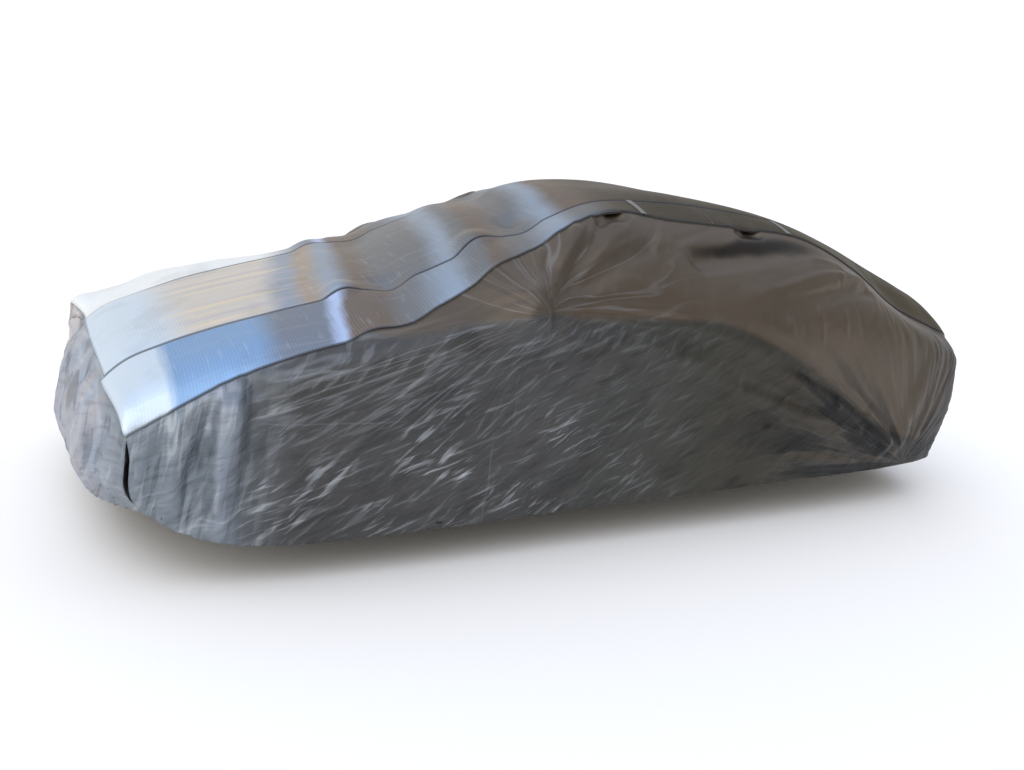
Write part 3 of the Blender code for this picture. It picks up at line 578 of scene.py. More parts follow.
def skinMaterial(name="crinkledSkin"):
    s = Shader(name)
    uv = s.metres()[0]
    x, y, z = s.place()[1]

    def strokes(turn, long, fine, seed):
        # straight creases, all leaning one way
        c, d = math.cos(math.radians(turn)), math.sin(math.radians(turn))
        spread = s.vector((x * c + z * d) * long, (z * c - x * d) * fine, y * 3.0 + seed)
        return s.noise(spread, 1.0, 2.0, 0.55, 0.25)

    def fan(point, turns, reach, seed):
        # creases that run out from a point
        dx, dz = x - point[0], z - point[1]
        far = (dx * dx + dz * dz) ** 0.5
        field = s.noise(s.vector(dx.turn(dz) * turns, far * 1.1, seed), 1.0, 2.0, 0.55)
        fade = far.below(reach * 0.35, reach) * far.above(0.01, 0.07)
        # thin lines, used for painted highlights, and broad bands, used for painted shade and the relief
        return abs(field - 0.5).below(0.0, 0.028) * fade, field.above(0.44, 0.62) * fade

    # the belt line rises to the point and falls towards the tail
    belt = x.above(-1.34, -0.81, "LINEAR") * 0.12 - x.above(-0.81, -0.62, "LINEAR") * 0.04
    belt = belt - x.above(0.0, 1.7) * 0.62 - 0.545
    soft = s.noise(uv, 2.6, 3.0, 0.5)
    over = z - belt + (soft - 0.5) * 0.06 * x.above(-0.4, 0.4)
    upper = over.above(-0.014, 0.014)
    lower = over.below(-0.03, 0.02)
    front = x.below(-0.85, 0.35)
    nose = x.below(-2.12, -1.66)
    pointLines, pointBands = fan(skinLook["point"], 4.6, 0.95, 1.0)
    tailLines, tailBands = fan(skinLook["gather"], 7.0, 1.60, 2.0)
    wingLines = fan(skinLook["point"], 11.0, 1.7, 6.0)[0]
    wing = x.below(-0.95, -0.80) * lower * z.above(-0.95, -0.80) * (1.0 - nose)
    fineLines, fineBands = fan(skinLook["gather"], 13.0, 1.3, 3.0)
    back = x.above(-0.1, 0.5) * over.below(0.04, 0.22)
    back = back * (1.0 - x.above(1.20, 1.50) * y.above(-0.2, 0.2) * 0.85)
    # where the crinkles' painted highlights are stronger, low at the front
    bundles = s.noise(s.vector(x * 3.0, z * 6.0, y), 1.0, 2.0, 0.5).above(0.46, 0.62)
    bundles = bundles * front * z.below(-0.98, -0.70)
    flat, steep = strokes(20, 5.0, 46.0, 1.0), strokes(42, 6.5, 40.0, 5.0)
    tiny, plunging = strokes(34, 16.0, 110.0, 8.0), strokes(80, 4.0, 34.0, 9.0)
    # painted highlights on the crinkles' crests (light) and painted shade in their hollows (dark)
    light = flat.above(0.565, 0.68) * 0.55 + steep.above(0.565, 0.68) * 0.55 + tiny.above(0.58, 0.72) * 0.22
    dark = 1.6 - flat.above(0.32, 0.46) - steep.above(0.32, 0.46) * 0.6
    crinkle = light * lower * (front * 0.7 + 0.06) * (1.0 - nose * 0.6) * (bundles * 1.6 + 0.55)
    drapes = plunging.above(0.54, 0.68) * nose
    creases = crinkle + drapes * 0.7 + pointLines * upper * 0.26 + wingLines * wing * 0.32
    creases = creases + (tailLines + fineLines) * back * 0.07
    grain = s.noise(uv, 60.0, 3.0, 0.6)
    rumple = strokes(28, 3.0, 11.0, 3.0)
    # base tones by region, painted reflection and painted shade: grey at the front, darker below the belt and
    # towards the tail, warm above the belt, bluish at the nose
    colour = s.mix(front, s.mix(x.above(0.3, 1.5), skinLook["lower"], skinLook["tail"]), skinLook["front"])
    colour = s.mix(upper, colour, skinLook["upper"])
    colour = s.mix(nose, colour, skinLook["nose"])
    # painted reflections: blue and rose on the front face, beige on the far side of the nose
    face = x.below(-2.31, -2.23)
    tints = s.noise(s.vector(y * 13.0, z * 2.2, x * 6.0), 1.0, 2.0, 0.5)
    colour = s.mix(face, colour, s.mix(tints.above(0.30, 0.70), skinLook["faceBlue"], skinLook["faceRose"]))
    colour = s.mix(nose * y.above(0.30, 0.85), colour, skinLook["farNose"])
    # a painted highlight down the upright fold behind the corner
    column = nose * abs(x - skinLook["columnX"]).below(0.02, 0.07) * lower * 0.75
    colour = s.mix(column, colour, skinLook["column"])
    # painted warm light on the crests between the gathers' shade bands
    colour = s.mix((1.0 - tailBands) * back * (fineBands * 0.5 + 0.4), colour, skinLook["upper"])
    # shade: the sunk patch, the gathers, and the darkening down the side and towards the tail
    patch = skinLook["sunk"]
    sunkAlong = (x - patch["x"]) / patch["half"]
    sunkDown = (z - x * patch["rise"] - patch["z"] + (soft - 0.5) * 0.10) / patch["tall"]
    sunk = (sunkDown * sunkDown + sunkAlong * sunkAlong).below(0.05, 1.25)
    shade = sunk * patch["dark"] + lower * x.above(-0.3, 0.5) * 0.30 + tailBands * back * 0.60
    shade = shade + pointBands * upper * 0.14 + dark * lower * 0.17
    shade = shade + rumple.above(0.50, 0.64) * lower * (1.0 - nose) * 0.22
    shade = shade + plunging.below(0.36, 0.46) * nose * 0.34 + x.above(1.25, 1.85) * 0.56
    colour = s.mix(shade + soft.above(0.46, 0.70) * 0.12 * (1.0 - nose), colour, skinLook["shade"])
    # painted highlights along the creases
    colour = s.mix(creases * 0.50, colour, skinLook["light"])
    # painted highlights along the level and upright creases from when it lay folded
    level = abs(z - skinLook["foldedLevel"]).below(0.0, 0.005)
    level = level * x.above(-1.86, -1.80) * x.below(-1.40, -1.30)
    upright = abs(x - skinLook["foldedUpright"]).below(0.0, 0.005) * z.below(-0.98, -0.90)
    colour = s.mix((level + upright) * skinLook["folded"], colour, skinLook["light"])
    crumpled = lower * (front * 0.75 + 0.25)
    relief = (flat + steep) * crumpled * 1.3 + tiny * crumpled * 0.3 + plunging * nose * 1.4 + creases * 0.35
    relief = relief - tailBands * back * 0.8 - pointBands * upper * 0.35 + grain * 0.14 + rumple * lower * 1.6
    normal = s.bump(relief, skinLook["relief"], 0.85)
    rough = skinLook["roughness"] + soft * 0.12 - creases * 0.10
    return s.finish(Base_Color=colour, Metallic=skinLook["metallic"], Roughness=rough, Normal=normal,
                    Specular_IOR_Level=0.3)


def insideMaterial(name="skinInside"):
    s = Shader(name)
    weave = s.noise(s.metres()[0], 180.0, 2.0)
    colour = s.mix(weave, skinLook["inside"], skinLook["shade"])
    return s.finish(Base_Color=colour, Roughness=0.8 + weave * 0.1, Normal=s.bump(weave, 0.0004))


padLook = {
    # the tints of the foil's painted reflections
    "tints": {
        "white": (0.56, 0.66, 0.76), "pearl": (0.56, 0.54, 0.50), "sky": (0.20, 0.34, 0.55),
        "ice": (0.40, 0.50, 0.70), "steel": (0.26, 0.32, 0.40), "lilac": (0.17, 0.20, 0.25),
        "grey": (0.15, 0.16, 0.17), "amber": (0.34, 0.28, 0.22), "brown": (0.14, 0.11, 0.09),
        "umber": (0.07, 0.06, 0.045), "moss": (0.06, 0.05, 0.03),
    },
    # painted reflections: bands of tint along the strips and along the centre, by metres along at the near seam
    "strip": (
        (0.34, "white"), (0.39, "white"), (0.44, "sky"), (0.70, "sky"), (0.84, "lilac"), (0.98, "lilac"),
        (1.04, "ice"), (1.09, "brown"), (1.20, "brown"), (1.32, "grey"), (1.49, "steel"), (1.60, "grey"),
        (1.66, "brown"), (1.80, "grey"), (1.95, "steel"), (2.06, "grey"), (2.26, "umber"), (3.60, "moss"),
    ),
    "centre": (
        (0.34, "white"), (0.40, "white"), (0.58, "pearl"), (0.78, "pearl"), (0.88, "steel"), (0.95, "amber"),
        (1.03, "steel"), (1.13, "brown"), (1.26, "grey"), (1.40, "grey"), (1.51, "steel"), (1.58, "grey"),
        (1.65, "brown"), (1.84, "grey"), (1.95, "steel"), (2.05, "brown"), (2.26, "umber"), (3.60, "moss"),
    ),
    # a painted pale reflection on the far strip's front
    "farFront": (0.80, 0.84, 0.86),
    "warmGlint": (0.74, 0.62, 0.44),
    "coolGlint": (0.44, 0.40, 0.46),
    "cloud": (0.16, 0.16, 0.16),
    # painted highlight along the ribs and the drawn and combed lines
    "streakGlint": (0.62, 0.68, 0.74),
    # painted shade in the grooves beside the sewn edges
    "grooveShade": (0.050, 0.058, 0.072),
    "sheen": (0.72, 0.68, 0.63),
    "relief": 0.0017,
    "lean": 0.23,                 # how far back the bands run over each metre of width
    "seam": 0.45,                 # from the crown to the strips
    "metallic": 0.62,
    "roughness": 0.33,
    "rib": 0.0105,                # from one cross rib to the next
    "cell": 0.021,
}


def padMaterial(name="ribbedFoil"):
    s = Shader(name)
    uv, along, across = s.metres()
    y = s.place()[1][1]
    wander = s.noise(uv, 7.0, 2.0, 0.5) * 0.35
    ribs = ((along * (2 * math.pi / padLook["rib"])) + wander * 9.0).sine() * 0.5 + 0.5
    cells = ((across * (2 * math.pi / padLook["cell"])) + wander * 5.0).sine() * 0.5 + 0.5
    cloud = s.noise(uv, 3.2, 4.0, 0.6)
    drawn = s.noise(s.vector(along * 2.2, across * 30.0), 1.0, 3.0, 0.6)
    combed = s.noise(s.vector(along * 60.0, across * 5.0, 2.0), 1.0, 3.0, 0.6)
    lean = (y + padLook["seam"]) * padLook["lean"] * along.above(0.40, 1.15)
    band = along - lean + (cloud - 0.5) * 0.07 * along.above(0.45, 0.9) + (combed - 0.5) * 0.035

    def bands(rows):
        # the tints shade into each other from row to row
        colour = padLook["tints"][rows[0][1]]
        for (before, first), (after, tint) in zip(rows, rows[1:]):
            if tint != first:
                colour = s.mix(band.above(before, after), colour, padLook["tints"][tint])
        return colour

    # the bands of painted reflection, one set on the strips and one on the centre
    centre = (abs(y) - (padLook["seam"] - 0.02)).below(0.0, 0.004)
    colour = s.mix(centre, bands(padLook["strip"]), bands(padLook["centre"]))
    # painted pale reflection on the far strip's front
    farFront = (1.0 - centre) * y.above(0.3, 0.4) * along.below(0.95, 1.2)
    colour = s.mix(farFront, colour, padLook["farFront"])
    warmth = s.noise(s.vector(along * 1.4, across * 17.0, 3.0), 1.0, 2.0, 0.5)
    glints = along.below(0.92, 1.10) * centre * along.above(0.42, 0.60)
    colour = s.mix(warmth.above(0.54, 0.66) * glints * 0.6, colour, padLook["warmGlint"])
    colour = s.mix(warmth.below(0.36, 0.47) * glints * 0.5, colour, padLook["coolGlint"])
    colour = s.mix(cloud.above(0.50, 0.68) * 0.16, colour, padLook["cloud"])
    # painted highlights along the ribs and the drawn and combed lines, fainter towards the rear
    bright = 1.0 - along.above(1.0, 2.3) * 0.86
    streakGlints = ribs * 0.07 + drawn.above(0.52, 0.74) * 0.10 + combed.above(0.58, 0.70) * 0.14
    colour = s.mix(streakGlints * bright, colour, padLook["streakGlint"])
    # painted shade in the grooves where the edges are sewn down
    fromEdge = s.add("ShaderNodeAttribute", {"attribute_name": "fromEdge"}, None, 2)
    colour = s.mix(fromEdge.below(0.0020, 0.011) * 0.75, colour, padLook["grooveShade"])
    dents = s.noise(uv, 22.0, 3.0, 0.6)
    height = ribs * 0.22 + cells * 0.14 + dents * 0.42 + drawn * 0.30 + combed * 0.30
    normal = s.bump(height, padLook["relief"], 0.6)
    rough = padLook["roughness"] + dents * 0.16 + along.above(1.9, 2.5) * 0.10
    return s.finish(Base_Color=colour, Metallic=padLook["metallic"], Roughness=rough, Normal=normal,
                    Specular_IOR_Level=0.25, Specular_Tint=padLook["sheen"])


tapeLook = {"tints": ((0.17, 0.17, 0.16), (0.24, 0.24, 0.23)), "weave": 2400.0, "relief": 0.0006}
threadLook = {"tints": ((0.10, 0.10, 0.10), (0.20, 0.20, 0.20)), "roughness": 0.6}


def tapeMaterial(name="sewnTape"):
    s = Shader(name)
    uv, along, across = s.metres()
    weave = (along * tapeLook["weave"]).sine() * (across * tapeLook["weave"]).sine()
    shade = s.noise(uv, 30.0, 3.0)
    colour = s.mix(shade, *tapeLook["tints"])
    normal = s.bump(weave + shade, tapeLook["relief"])
    return s.finish(Base_Color=colour, Metallic=0.15, Roughness=0.5 + shade * 0.1, Normal=normal)


def threadMaterial(name="greyThread"):
    s = Shader(name)
    shade = s.noise(s.place()[0], 90.0, 2.0)
    return s.finish(Base_Color=s.mix(shade, *threadLook["tints"]), Roughness=threadLook["roughness"])


def gridFaces(rows, columns, start=0):
    i, j = np.meshgrid(np.arange(rows - 1), np.arange(columns - 1), indexing="ij")
    first = (i * columns + j).ravel() + start
    return np.stack([first, first + 1, first + columns + 1, first + columns], axis=1)


def linked(name, data):
    made = bpy.data.objects.new(name, data)
    bpy.context.scene.collection.objects.link(made)
    return made


def meshPiece(name, points, faces, uv, material):
    mesh = bpy.data.meshes.new(name)
    mesh.from_pydata(points.reshape(-1, 3).tolist(), [], faces.tolist())
    layer = mesh.uv_layers.new(name="clothMetres")
    layer.data.foreach_set("uv", uv.reshape(-1, 2)[faces.ravel()].ravel())
    mesh.polygons.foreach_set("use_smooth", [True] * len(faces))
    mesh.materials.append(material)
    return linked(name, mesh)


def inset(grid, gaps):
    grid = grid.copy()
    for turned, pair in ((grid, gaps[:2]), (np.swapaxes(grid, 0, 1), gaps[2:])):
        for first, beside, gap in ((0, 1, pair[0]), (-1, -2, pair[1])):
            inward = turned[beside] - turned[first]
            turned[first] += gap * inward / np.linalg.norm(inward, axis=-1, keepdims=True)
    return grid


def hemmed(grid, uv, normals):
    # the first row is the cloth's lower edge: it turns round and runs up a little inside
    down, out, turn = unit(grid[0] - grid[1]), normals[0], cover["hemTurn"]
    # each added row: how far past the edge, and how far out from the cloth
    rows = [(-turn, -0.0036), (-0.6 * turn, -0.0046), (-0.004, -0.0044), (0.0012, -0.0028), (0.0018, -0.0008)]
    added = np.stack([grid[0] + down * a + out * b for a, b in rows])
    step = unit(uv[0] - uv[1])
    addedUv = np.stack([uv[0] + step * (0.006 - b - 0.3 * a) for a, b in rows])
    return np.concatenate([added, grid]), np.concatenate([addedUv, uv])


def skinPiece(name, grid, uv, node, hemSide=None):
    if hemSide:
        # the hem's row comes first
        fields = [grid, uv, normalsOf(grid)]
        if hemSide in ("start", "end"):
            fields = [np.swapaxes(field, 0, 1) for field in fields]
        if hemSide in ("last", "end"):
            fields = [field[::-1] for field in fields]
        grid, uv = hemmed(*fields)
    faces = gridFaces(*grid.shape[:2])
    if hemSide in ("last", "start"):
        faces = faces[:, ::-1]
    piece = meshPiece(name, grid, faces, uv, materials["skin"])
    piece.data.materials.append(materials["inside"])
    thick = piece.modifiers.new("Thickness", "SOLIDIFY")
    thick.material_offset = 1
    thick.thickness, thick.offset = cover["skinThickness"], 1.0
    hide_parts(node)
    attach(piece, "root")
    return piece


# Rows beside a pad's edge: distance in, share of the full thickness. The dip is where it is sewn down
padRim = ((0.0, 0.10), (0.0012, 0.55), (0.0035, 0.86), (0.0060, 0.80), (0.009, 0.94), (0.0135, 1.0))


def withRims(fields, grid):
    # more rows beside the first and last, through every field alike; returns the shares of the thickness too
    def steps(beside):
        gap = np.linalg.norm(grid[beside[1]] - grid[beside[0]], axis=-1)
        return [np.minimum(0.92, distance / gap)[:, None] for distance, share in padRim[1:]]

    fromStart, fromEnd = steps((0, 2)), steps((-1, -3))
    made = []
    for field in fields:
        rows = [field[:1]] + [(field[0] + (field[2] - field[0]) * t)[None] for t in fromStart]
        rows += [field[2:-2]]
        rows += [(field[-1] + (field[-3] - field[-1]) * t)[None] for t in fromEnd[::-1]] + [field[-1:]]
        made.append(np.concatenate(rows))
    shares = np.array([share for distance, share in padRim])
    return made, np.concatenate([shares, np.ones(len(grid) - 4), shares[::-1]])


def padPiece(name, grid, uv, node, forward=0.0, corner=0.0):
    gap = cover["padGap"] / 2
    grid = inset(grid, (gap,) * 4)
    if forward:
        ahead = grid[:, :1] - grid[:, 1:2]
        ahead *= forward / np.linalg.norm(ahead, axis=-1, keepdims=True)
        grid = np.concatenate([grid[:, :1] + ahead, grid], axis=1)
        uv = np.concatenate([uv[:, :1] - (forward, 0), uv], axis=1)
    normals = normalsOf(grid)
    (grid, uv, normals), sharesDown = withRims((grid, uv, normals), grid)
    turned = [np.swapaxes(field, 0, 1) for field in (grid, uv, normals)]
    turned, sharesAlong = withRims(turned, turned[0])
    grid, uv, normals = [np.swapaxes(field, 0, 1) for field in turned]
    normals = unit(normals)
    if corner:
        grid = rounded(grid, corner)
    share = np.minimum(sharesDown[:, None], sharesAlong[None])
    lift, thick = cover["padLift"], cover["padThickness"]
    top = grid + normals * (lift + thick * share)[..., None]
    under = grid + normals * lift
    rows, columns = grid.shape[:2]
    count = rows * columns
    loop = np.concatenate([np.arange(columns), np.arange(2 * columns - 1, count, columns),
                           np.arange(count - 2, count - columns - 1, -1),
                           np.arange(count - 2 * columns, 0, -columns)])
    after = np.roll(loop, -1)
    rim = np.stack([loop, loop + count, after + count, after], axis=1)
    faces = np.concatenate([gridFaces(rows, columns), gridFaces(rows, columns, count)[:, ::-1], rim])
    piece = meshPiece(name, np.concatenate([top.reshape(-1, 3), under.reshape(-1, 3)]), faces,
                      np.concatenate([uv.reshape(-1, 2)] * 2), materials["pad"])
    sideways = runningLength(grid)
    fromEdge = np.minimum(sideways, sideways[-1:] - sideways).ravel()
    edgeLayer = piece.data.attributes.new("fromEdge", "FLOAT", "POINT")
    edgeLayer.data.foreach_set("value", np.concatenate([fromEdge] * 2))
    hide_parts(node)
    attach(piece, "root")
    # the stitches run along the dip beside each edge
    over = top + cover["stitchLift"] * normals
    stitchPaths.extend((over[3, 3:-3], over[-4, 3:-3], over[3:-3, 3], over[3:-3, -4]))


def rounded(grid, radius):
    # the pad's first corner drawn in to an arc
    x = np.clip(1 - runningLength(grid[0]) / radius, 0, 1)[None]
    y = np.clip(1 - runningLength(grid[:, 0]) / radius, 0, 1)[:, None]
    pullX, pullY = x - x * np.sqrt(1 - y * y / 2), y - y * np.sqrt(1 - x * x / 2)
    # the directions in from the two edges, taken past the rim's own rows
    inX, inY = unit(grid[:, 12:13] - grid[:, :1]), unit(grid[12:13] - grid[:1])
    return grid + radius * (pullX[..., None] * inX + pullY[..., None] * inY)


materials = {"skin": skinMaterial(), "inside": insideMaterial(), "pad": padMaterial(),
             "tape": tapeMaterial(), "thread": threadMaterial()}
stitchPaths = []
strip = finer * cover["facesAcross"][seam]
columns = {
    "near": slice(0, sideFaces + 1),
    "nearStrip": slice(sideFaces, sideFaces + strip + 1),
    "top": slice(sideFaces, -sideFaces),
    "centre": slice(sideFaces + strip, -sideFaces - strip),
    "farStrip": slice(-sideFaces - strip - 1, -sideFaces),
    "far": slice(-sideFaces - 1, None),
}
wholeUv = np.stack([lengthAlong, widthAcross], axis=-1)
gap = cover["seamGap"]


def endUv(grid):
    return np.stack([runningLength(grid), runningLength(grid, 1)], axis=-1)


# The seam at each front corner gapes over a tuck of the cloth: widest a little below the middle
leaf = {
    "low": 0.14, "high": 0.985,   # its ends, as shares of the seam
    "waist": 0.72,                # below 1 the widest place is lower
    "side": 0.014, "front": 0.010,      # how far each panel is drawn back
    "reach": 0.20,
    "tuck": 0.050, "steps": 8,
    "least": 0.0012,              # the tuck starts where the gap is this wide
    "clear": 0.0004,
    "uvStep": (0.012, 0.010),
}
# where the side skins sag away under the strips: along, and the size of each
sags = {"along": (2.175, 2.97), "half": 0.055, "tall": 0.030, "deep": 0.022}


def opened(grid, uv, width):
    # draws each row back from its first column along the cloth itself, less and less up to the reach
    grid, uv = grid.copy(), uv.copy()
    for i, up in enumerate(np.linspace(0, 1, len(grid))):
        share = np.clip((up - leaf["low"]) / (leaf["high"] - leaf["low"]), 0, 1)
        back = width * math.sin(math.pi * share ** leaf["waist"])
        far = runningLength(grid[i])
        wanted = np.where(far < leaf["reach"], back + far * (1 - back / leaf["reach"]), far)
        for field in (grid, uv):
            channels = [np.interp(wanted, far, field[i, :, k]) for k in range(field.shape[-1])]
            field[i] = np.stack(channels, axis=-1)
    return grid, uv


def sagged(grid, normals):
    # the rows run from the hem up to the strip's edge
    below = runningLength(grid[::-1])[::-1]
    along = grid[..., 0] + roof[0]
    lens = sum(np.clip(1 - ((along - at) / sags["half"]) ** 2, 0, 1) ** 1.5 for at in sags["along"])
    return grid - (sags["deep"] * lens * np.clip(1 - below / sags["tall"], 0, 1) ** 0.7)[..., None] * normals


def tuckCloth(piece, sideEdge, faceEdge, normals):
    # the tuck's cloth runs in from one edge of the gap and back out to the other
    wide = np.linalg.norm(sideEdge - faceEdge, axis=-1)
    rows = np.flatnonzero(wide > leaf["least"])
    across = np.linspace(0, 1, leaf["steps"] + 1)
    inward = leaf["tuck"] * np.sqrt(wide / wide.max())[:, None] * np.sin(math.pi * across) + leaf["clear"]
    bridge = sideEdge[:, None] * (1 - across)[:, None] + faceEdge[:, None] * across[:, None]
    points = bridge - inward[..., None] * normals[:, None]
    work = bmesh.new()
    work.from_mesh(piece.data)
    uvLayer = work.loops.layers.uv.verify()
    corners = [[work.verts.new(point) for point in points[i]] for i in rows]
    for i, (low, high) in enumerate(zip(corners, corners[1:])):
        for k in range(leaf["steps"]):
            new = work.faces.new((low[k], low[k + 1], high[k + 1], high[k]))
            # the tuck takes the dark inner-face material: painted shade in the pocket
            new.material_index, new.smooth = 1, True
            for loop, (right, up) in zip(new.loops, ((k, i), (k + 1, i), (k + 1, i + 1), (k, i + 1))):
                loop[uvLayer].uv = leaf["uvStep"][0] * right, leaf["uvStep"][1] * up
            new.normal_update()
            if new.normal.dot(Vector(normals[rows[i]])) < 0:
                new.normal_flip()
    work.to_mesh(piece.data)
    work.free()


sideNormals = wholeNormals[columns["near"]], wholeNormals[columns["far"]][::-1]
nearSide, nearSideUv = opened(whole[columns["near"]], wholeUv[columns["near"]], leaf["side"])
farSide, farSideUv = opened(whole[columns["far"]][::-1], wholeUv[columns["far"]][::-1], leaf["side"])
cornerEdges = nearSide[:, 0].copy(), farSide[:, 0].copy()
nearSide, farSide = sagged(nearSide, sideNormals[0]), sagged(farSide, sideNormals[1])
farSide, farSideUv = farSide[::-1], farSideUv[::-1]
face, faceUv = front.swapaxes(0, 1), endUv(front).swapaxes(0, 1)
for turn in range(2):
    face, faceUv = opened(face, faceUv, leaf["front"])
    face, faceUv = face[:, ::-1], faceUv[:, ::-1]
face, faceUv = face.swapaxes(0, 1), faceUv.swapaxes(0, 1)

# Skin panels, with the size each was cut to
skins = {
    "skinSideNear": skinPiece("skinSideNear", inset(nearSide, (0, gap, gap, gap)),
                              nearSideUv, "skin_side_near", "first"),
    "skinSideFar": skinPiece("skinSideFar", inset(farSide, (gap, 0, gap, gap)),
                             farSideUv, "skin_side_far", "last"),
    "skinTop": skinPiece("skinTop", inset(whole[columns["top"], ::2][::2], (gap,) * 4),
                         wholeUv[columns["top"], ::2][::2], "skin_top"),
}
skins["skinFront"] = skinPiece("skinFront", inset(face, (gap, gap, 0, gap)), faceUv, "skin_front", "start")
for sideEdge, faceEdge, normals in zip(cornerEdges, (face[0], face[-1]), sideNormals):
    print("corner tuck", np.round(np.linalg.norm(sideEdge - faceEdge, axis=-1).max(), 4))
    tuckCloth(skins["skinFront"], sideEdge, faceEdge, normals[:, 0])
skins["skinRear"] = skinPiece("skinRear", inset(rear, (gap, gap, gap, 0)), endUv(rear), "skin_rear", "end")
print("skin panels made")

# Pads in butted lengths, named with where each ends, and the tabs across two of the joints
stripLengths = (("front", 2.36), ("roof_front", 2.72), ("roof_rear", 3.24), ("quarter", 3.86), ("boot", 4.60))
padLengths = {
    "nearStrip": ("pad_near_strip_", stripLengths),
    "farStrip": ("pad_far_strip_", stripLengths),
    "centre": ("pad_centre_", (("front", 3.86), ("boot", 4.60))),
}
# the near strip's first pad reaches further forward and has a round corner
nearFront = {"forward": 0.02, "corner": 0.045}
tab = {"joints": ("front", "roof_rear"), "reach": 0.2, "lift": 0.0012, "thickness": 0.001}


def tabPiece(name, part, end, node):
    height = cover["padLift"] + cover["padThickness"] + tab["lift"]
    over = whole[columns[part]] + height * wholeNormals[columns[part]]
    reach = tab["reach"] * finer
    at = end + np.linspace(-reach, reach, 5)
    low = np.floor(at).astype(int)
    t = (at - low)[None, :, None]
    grid = inset((1 - t) * over[:, low] + t * over[:, low + 1], (cover["padGap"], cover["padGap"], 0, 0))
    uv = endUv(grid)
    piece = meshPiece(name, grid, gridFaces(*grid.shape[:2]), uv, materials["tape"])
    thick = piece.modifiers.new("Thickness", "SOLIDIFY")
    thick.thickness, thick.offset = tab["thickness"], 1.0
    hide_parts(node)
    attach(piece, "root")


for part, (prefix, lengths) in padLengths.items():
    start = 0
    for name, endX in lengths:
        end = finer * int(np.argmin(abs(coarseCrown - endX)))
        grid, uv = whole[columns[part], start:end + 1], wholeUv[columns[part], start:end + 1]
        title = name.title().replace("_", "")
        shape = nearFront if (part, name) == ("nearStrip", "front") else {}
        padPiece(part + title + "Pad", grid, uv, prefix + name, **shape)
        if part != "centre" and name in tab["joints"]:
            hand = part.replace("Strip", "")
            tabPiece(hand + title + "Tab", part, end, f"tab_{hand}_{name}")
        start = end
print("pads made", len(stitchPaths), "seam paths")


# Stitches along the pads' edges, by Geometry Nodes
stitch = {"pitch": 0.009, "length": 0.0055, "radius": 0.0006}


def stitchTree():
    tree = bpy.data.node_groups.new("stitchesAlongSeam", "GeometryNodeTree")
    for name, way, kind in (("Geometry", "INPUT", "Geometry"), ("Pitch", "INPUT", "Float"),
                            ("Length", "INPUT", "Float"), ("Radius", "INPUT", "Float"),
                            ("Thread", "INPUT", "Material"), ("Geometry", "OUTPUT", "Geometry")):
        tree.interface.new_socket(name, in_out=way, socket_type="NodeSocket" + kind)
    node = lambda kind: tree.nodes.new("GeometryNode" + kind)
    inputs, output = tree.nodes.new("NodeGroupInput"), tree.nodes.new("NodeGroupOutput")
    curve, sample, points = node("MeshToCurve"), node("ResampleCurve"), node("InstanceOnPoints")
    cylinder, tangent = node("MeshCylinder"), node("InputTangent")
    turn = tree.nodes.new("FunctionNodeAlignRotationToVector")
    realize, paint = node("RealizeInstances"), node("SetMaterial")
    sample.mode = "LENGTH"
    cylinder.fill_type = "NGON"
    cylinder.inputs["Vertices"].default_value = 5
    turn.axis = "Z"
    for source, outlet, target, inlet in (
        (inputs, "Geometry", curve, "Mesh"), (curve, "Curve", sample, "Curve"),
        (inputs, "Pitch", sample, "Length"), (sample, "Curve", points, "Points"),
        (inputs, "Radius", cylinder, "Radius"), (inputs, "Length", cylinder, "Depth"),
        (cylinder, "Mesh", points, "Instance"),
        (tangent, "Tangent", turn, "Vector"), (turn, "Rotation", points, "Rotation"),
        (points, "Instances", realize, "Geometry"), (realize, "Geometry", paint, "Geometry"),
        (inputs, "Thread", paint, "Material"), (paint, "Geometry", output, "Geometry"),
    ):
        tree.links.new(source.outputs[outlet], target.inputs[inlet])
    return tree


def sewn(name, paths):
    mesh = bpy.data.meshes.new(name + "Paths")
    points, edges, count = [], [], 0
    for path in paths:
        points.append(path)
        edges += [(count + k, count + k + 1) for k in range(len(path) - 1)]
        count += len(path)
    mesh.from_pydata(np.concatenate(points).tolist(), edges, [])
    guide = linked(name + "Guide", mesh)
    nodes = guide.modifiers.new("Stitches", "NODES")
    nodes.node_group = stitchTree()
    values = {key.title(): size for key, size in stitch.items()}
    values["Thread"] = materials["thread"]
    for item in nodes.node_group.interface.items_tree:
        if item.in_out == "INPUT" and item.name in values:
            nodes[item.identifier] = values[item.name]
    bpy.context.view_layer.update()
    graph = bpy.context.evaluated_depsgraph_get()
    made = bpy.data.meshes.new_from_object(guide.evaluated_get(graph))
    bpy.data.objects.remove(guide, do_unlink=True)
    piece = linked(name, made)
    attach(piece, "root")


sewn("padStitches", stitchPaths)
print("stitches sewn")

# Floor, light and camera
view = {
    "azimuth": -30.59, "elevation": 15.36, "roll": 7.27, "distance": 15.34,
    "target": (7.478, 9.040, -2.444),
    "focal": 891.6, "width": 1024,      # in pixels
}
floorLook = {"half": 300.0, "tints": ((0.93, 0.915, 0.885), (0.94, 0.925, 0.895)), "roughness": 0.9}


def makeFloor():
    ground, size = -float(roof[2]), floorLook["half"]
    mesh = bpy.data.meshes.new("paleFloor")
    corners = [(-size, -size, ground), (size, -size, ground), (size, size, ground), (-size, size, ground)]
    mesh.from_pydata(corners, [], [(0, 1, 2, 3)])
    s = Shader("paleFloor")
    colour = s.mix(s.noise(s.place()[0], 0.4), *floorLook["tints"])
    mesh.materials.append(s.finish(Base_Color=colour, Roughness=floorLook["roughness"]))
    floor = linked("paleFloor", mesh)


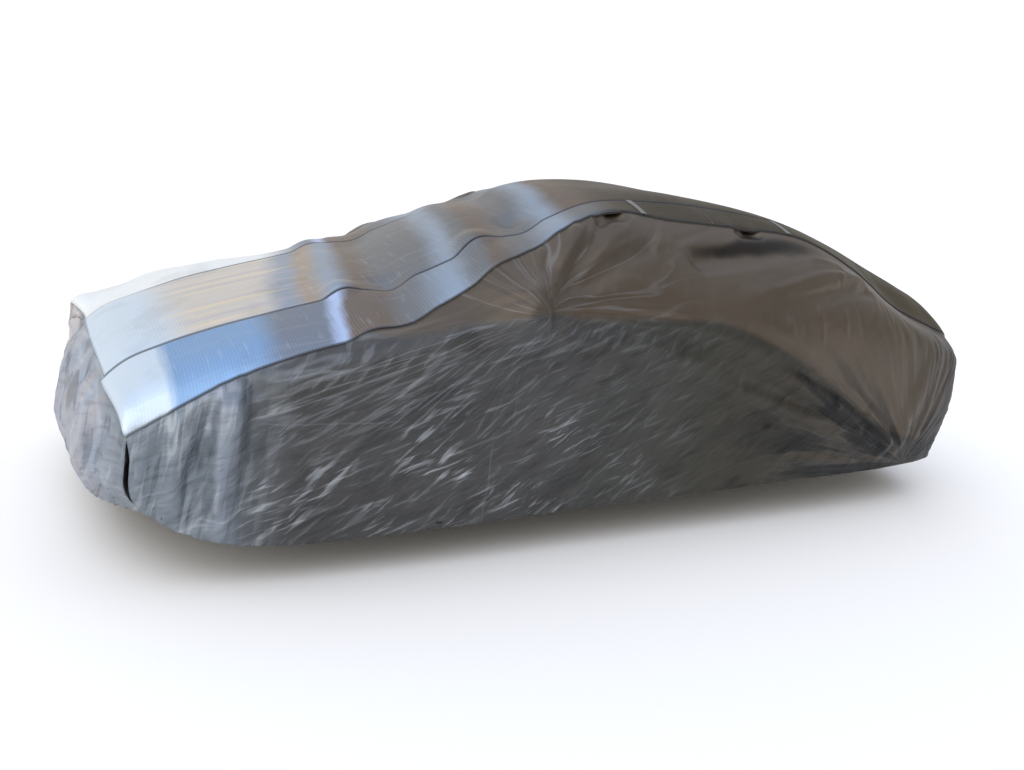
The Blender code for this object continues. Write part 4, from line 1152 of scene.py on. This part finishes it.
light = {
    "sun": {"from": (-0.62, -0.42, 0.66), "strength": 1.6, "angle": 90, "colour": (1.0, 0.98, 0.95)},
    "sky": 1.20,
    "zenith": (0.72, 0.80, 0.98),
    "low": (0.98, 0.98, 0.98),        # pale all round where the camera looks
    "haze": (0.80, 0.74, 0.66),
    "behind": (0.22, 0.19, 0.16),     # darker, low behind the camera
    "rear": (0.30, 0.26, 0.22),
}


def makeLight():
    sun = light["sun"]
    data = bpy.data.lights.new("softSun", "SUN")
    data.energy, data.angle, data.color = sun["strength"], math.radians(sun["angle"]), sun["colour"]
    lamp = linked("softSun", data)
    lamp.rotation_mode = "QUATERNION"
    lamp.rotation_quaternion = (-Vector(sun["from"])).to_track_quat("-Z", "Y")


def makeWorld():
    s = Shader("softSky", bpy.data.worlds)
    x, y, z = s.place("Generated")[1]
    colour = s.mix(z.above(0.27, 0.42), light["low"], light["haze"])
    colour = s.mix(x.above(0.35, 0.85) * z.above(0.27, 0.36), colour, light["rear"])
    colour = s.mix(z.above(0.46, 0.70), colour, light["zenith"])
    behind = y.below(-0.55, -0.05) * z.below(0.45, 0.80)
    behind = behind * x.above(-0.75, -0.35) * z.above(0.08, 0.20)
    colour = s.mix(behind, colour, light["behind"])
    s.finish(Color=colour, Strength=light["sky"])
    bpy.context.scene.world = s.material


def makeCamera():
    a, e, r = (math.radians(view[name]) for name in ("azimuth", "elevation", "roll"))
    back = Vector((math.sin(a) * math.cos(e), -math.cos(a) * math.cos(e), math.sin(e)))
    right = (-back).cross(Vector((0, 0, 1))).normalized()
    up = right.cross(-back)
    rolledRight = right * math.cos(r) + up * math.sin(r)
    rolledUp = up * math.cos(r) - right * math.sin(r)
    data = bpy.data.cameras.new("camera")
    data.sensor_width, data.lens = 36.0, view["focal"] / view["width"] * 36.0
    camera = linked("camera", data)
    camera.rotation_mode = "QUATERNION"
    camera.rotation_quaternion = Matrix((rolledRight, rolledUp, back)).transposed().to_quaternion()
    camera.location = Vector(view["target"]) + back * view["distance"] - Vector(roof.tolist())
    bpy.context.scene.camera = camera


makeFloor()
makeWorld()
makeLight()
bpy.context.scene.view_settings.view_transform = "Standard"
makeCamera()
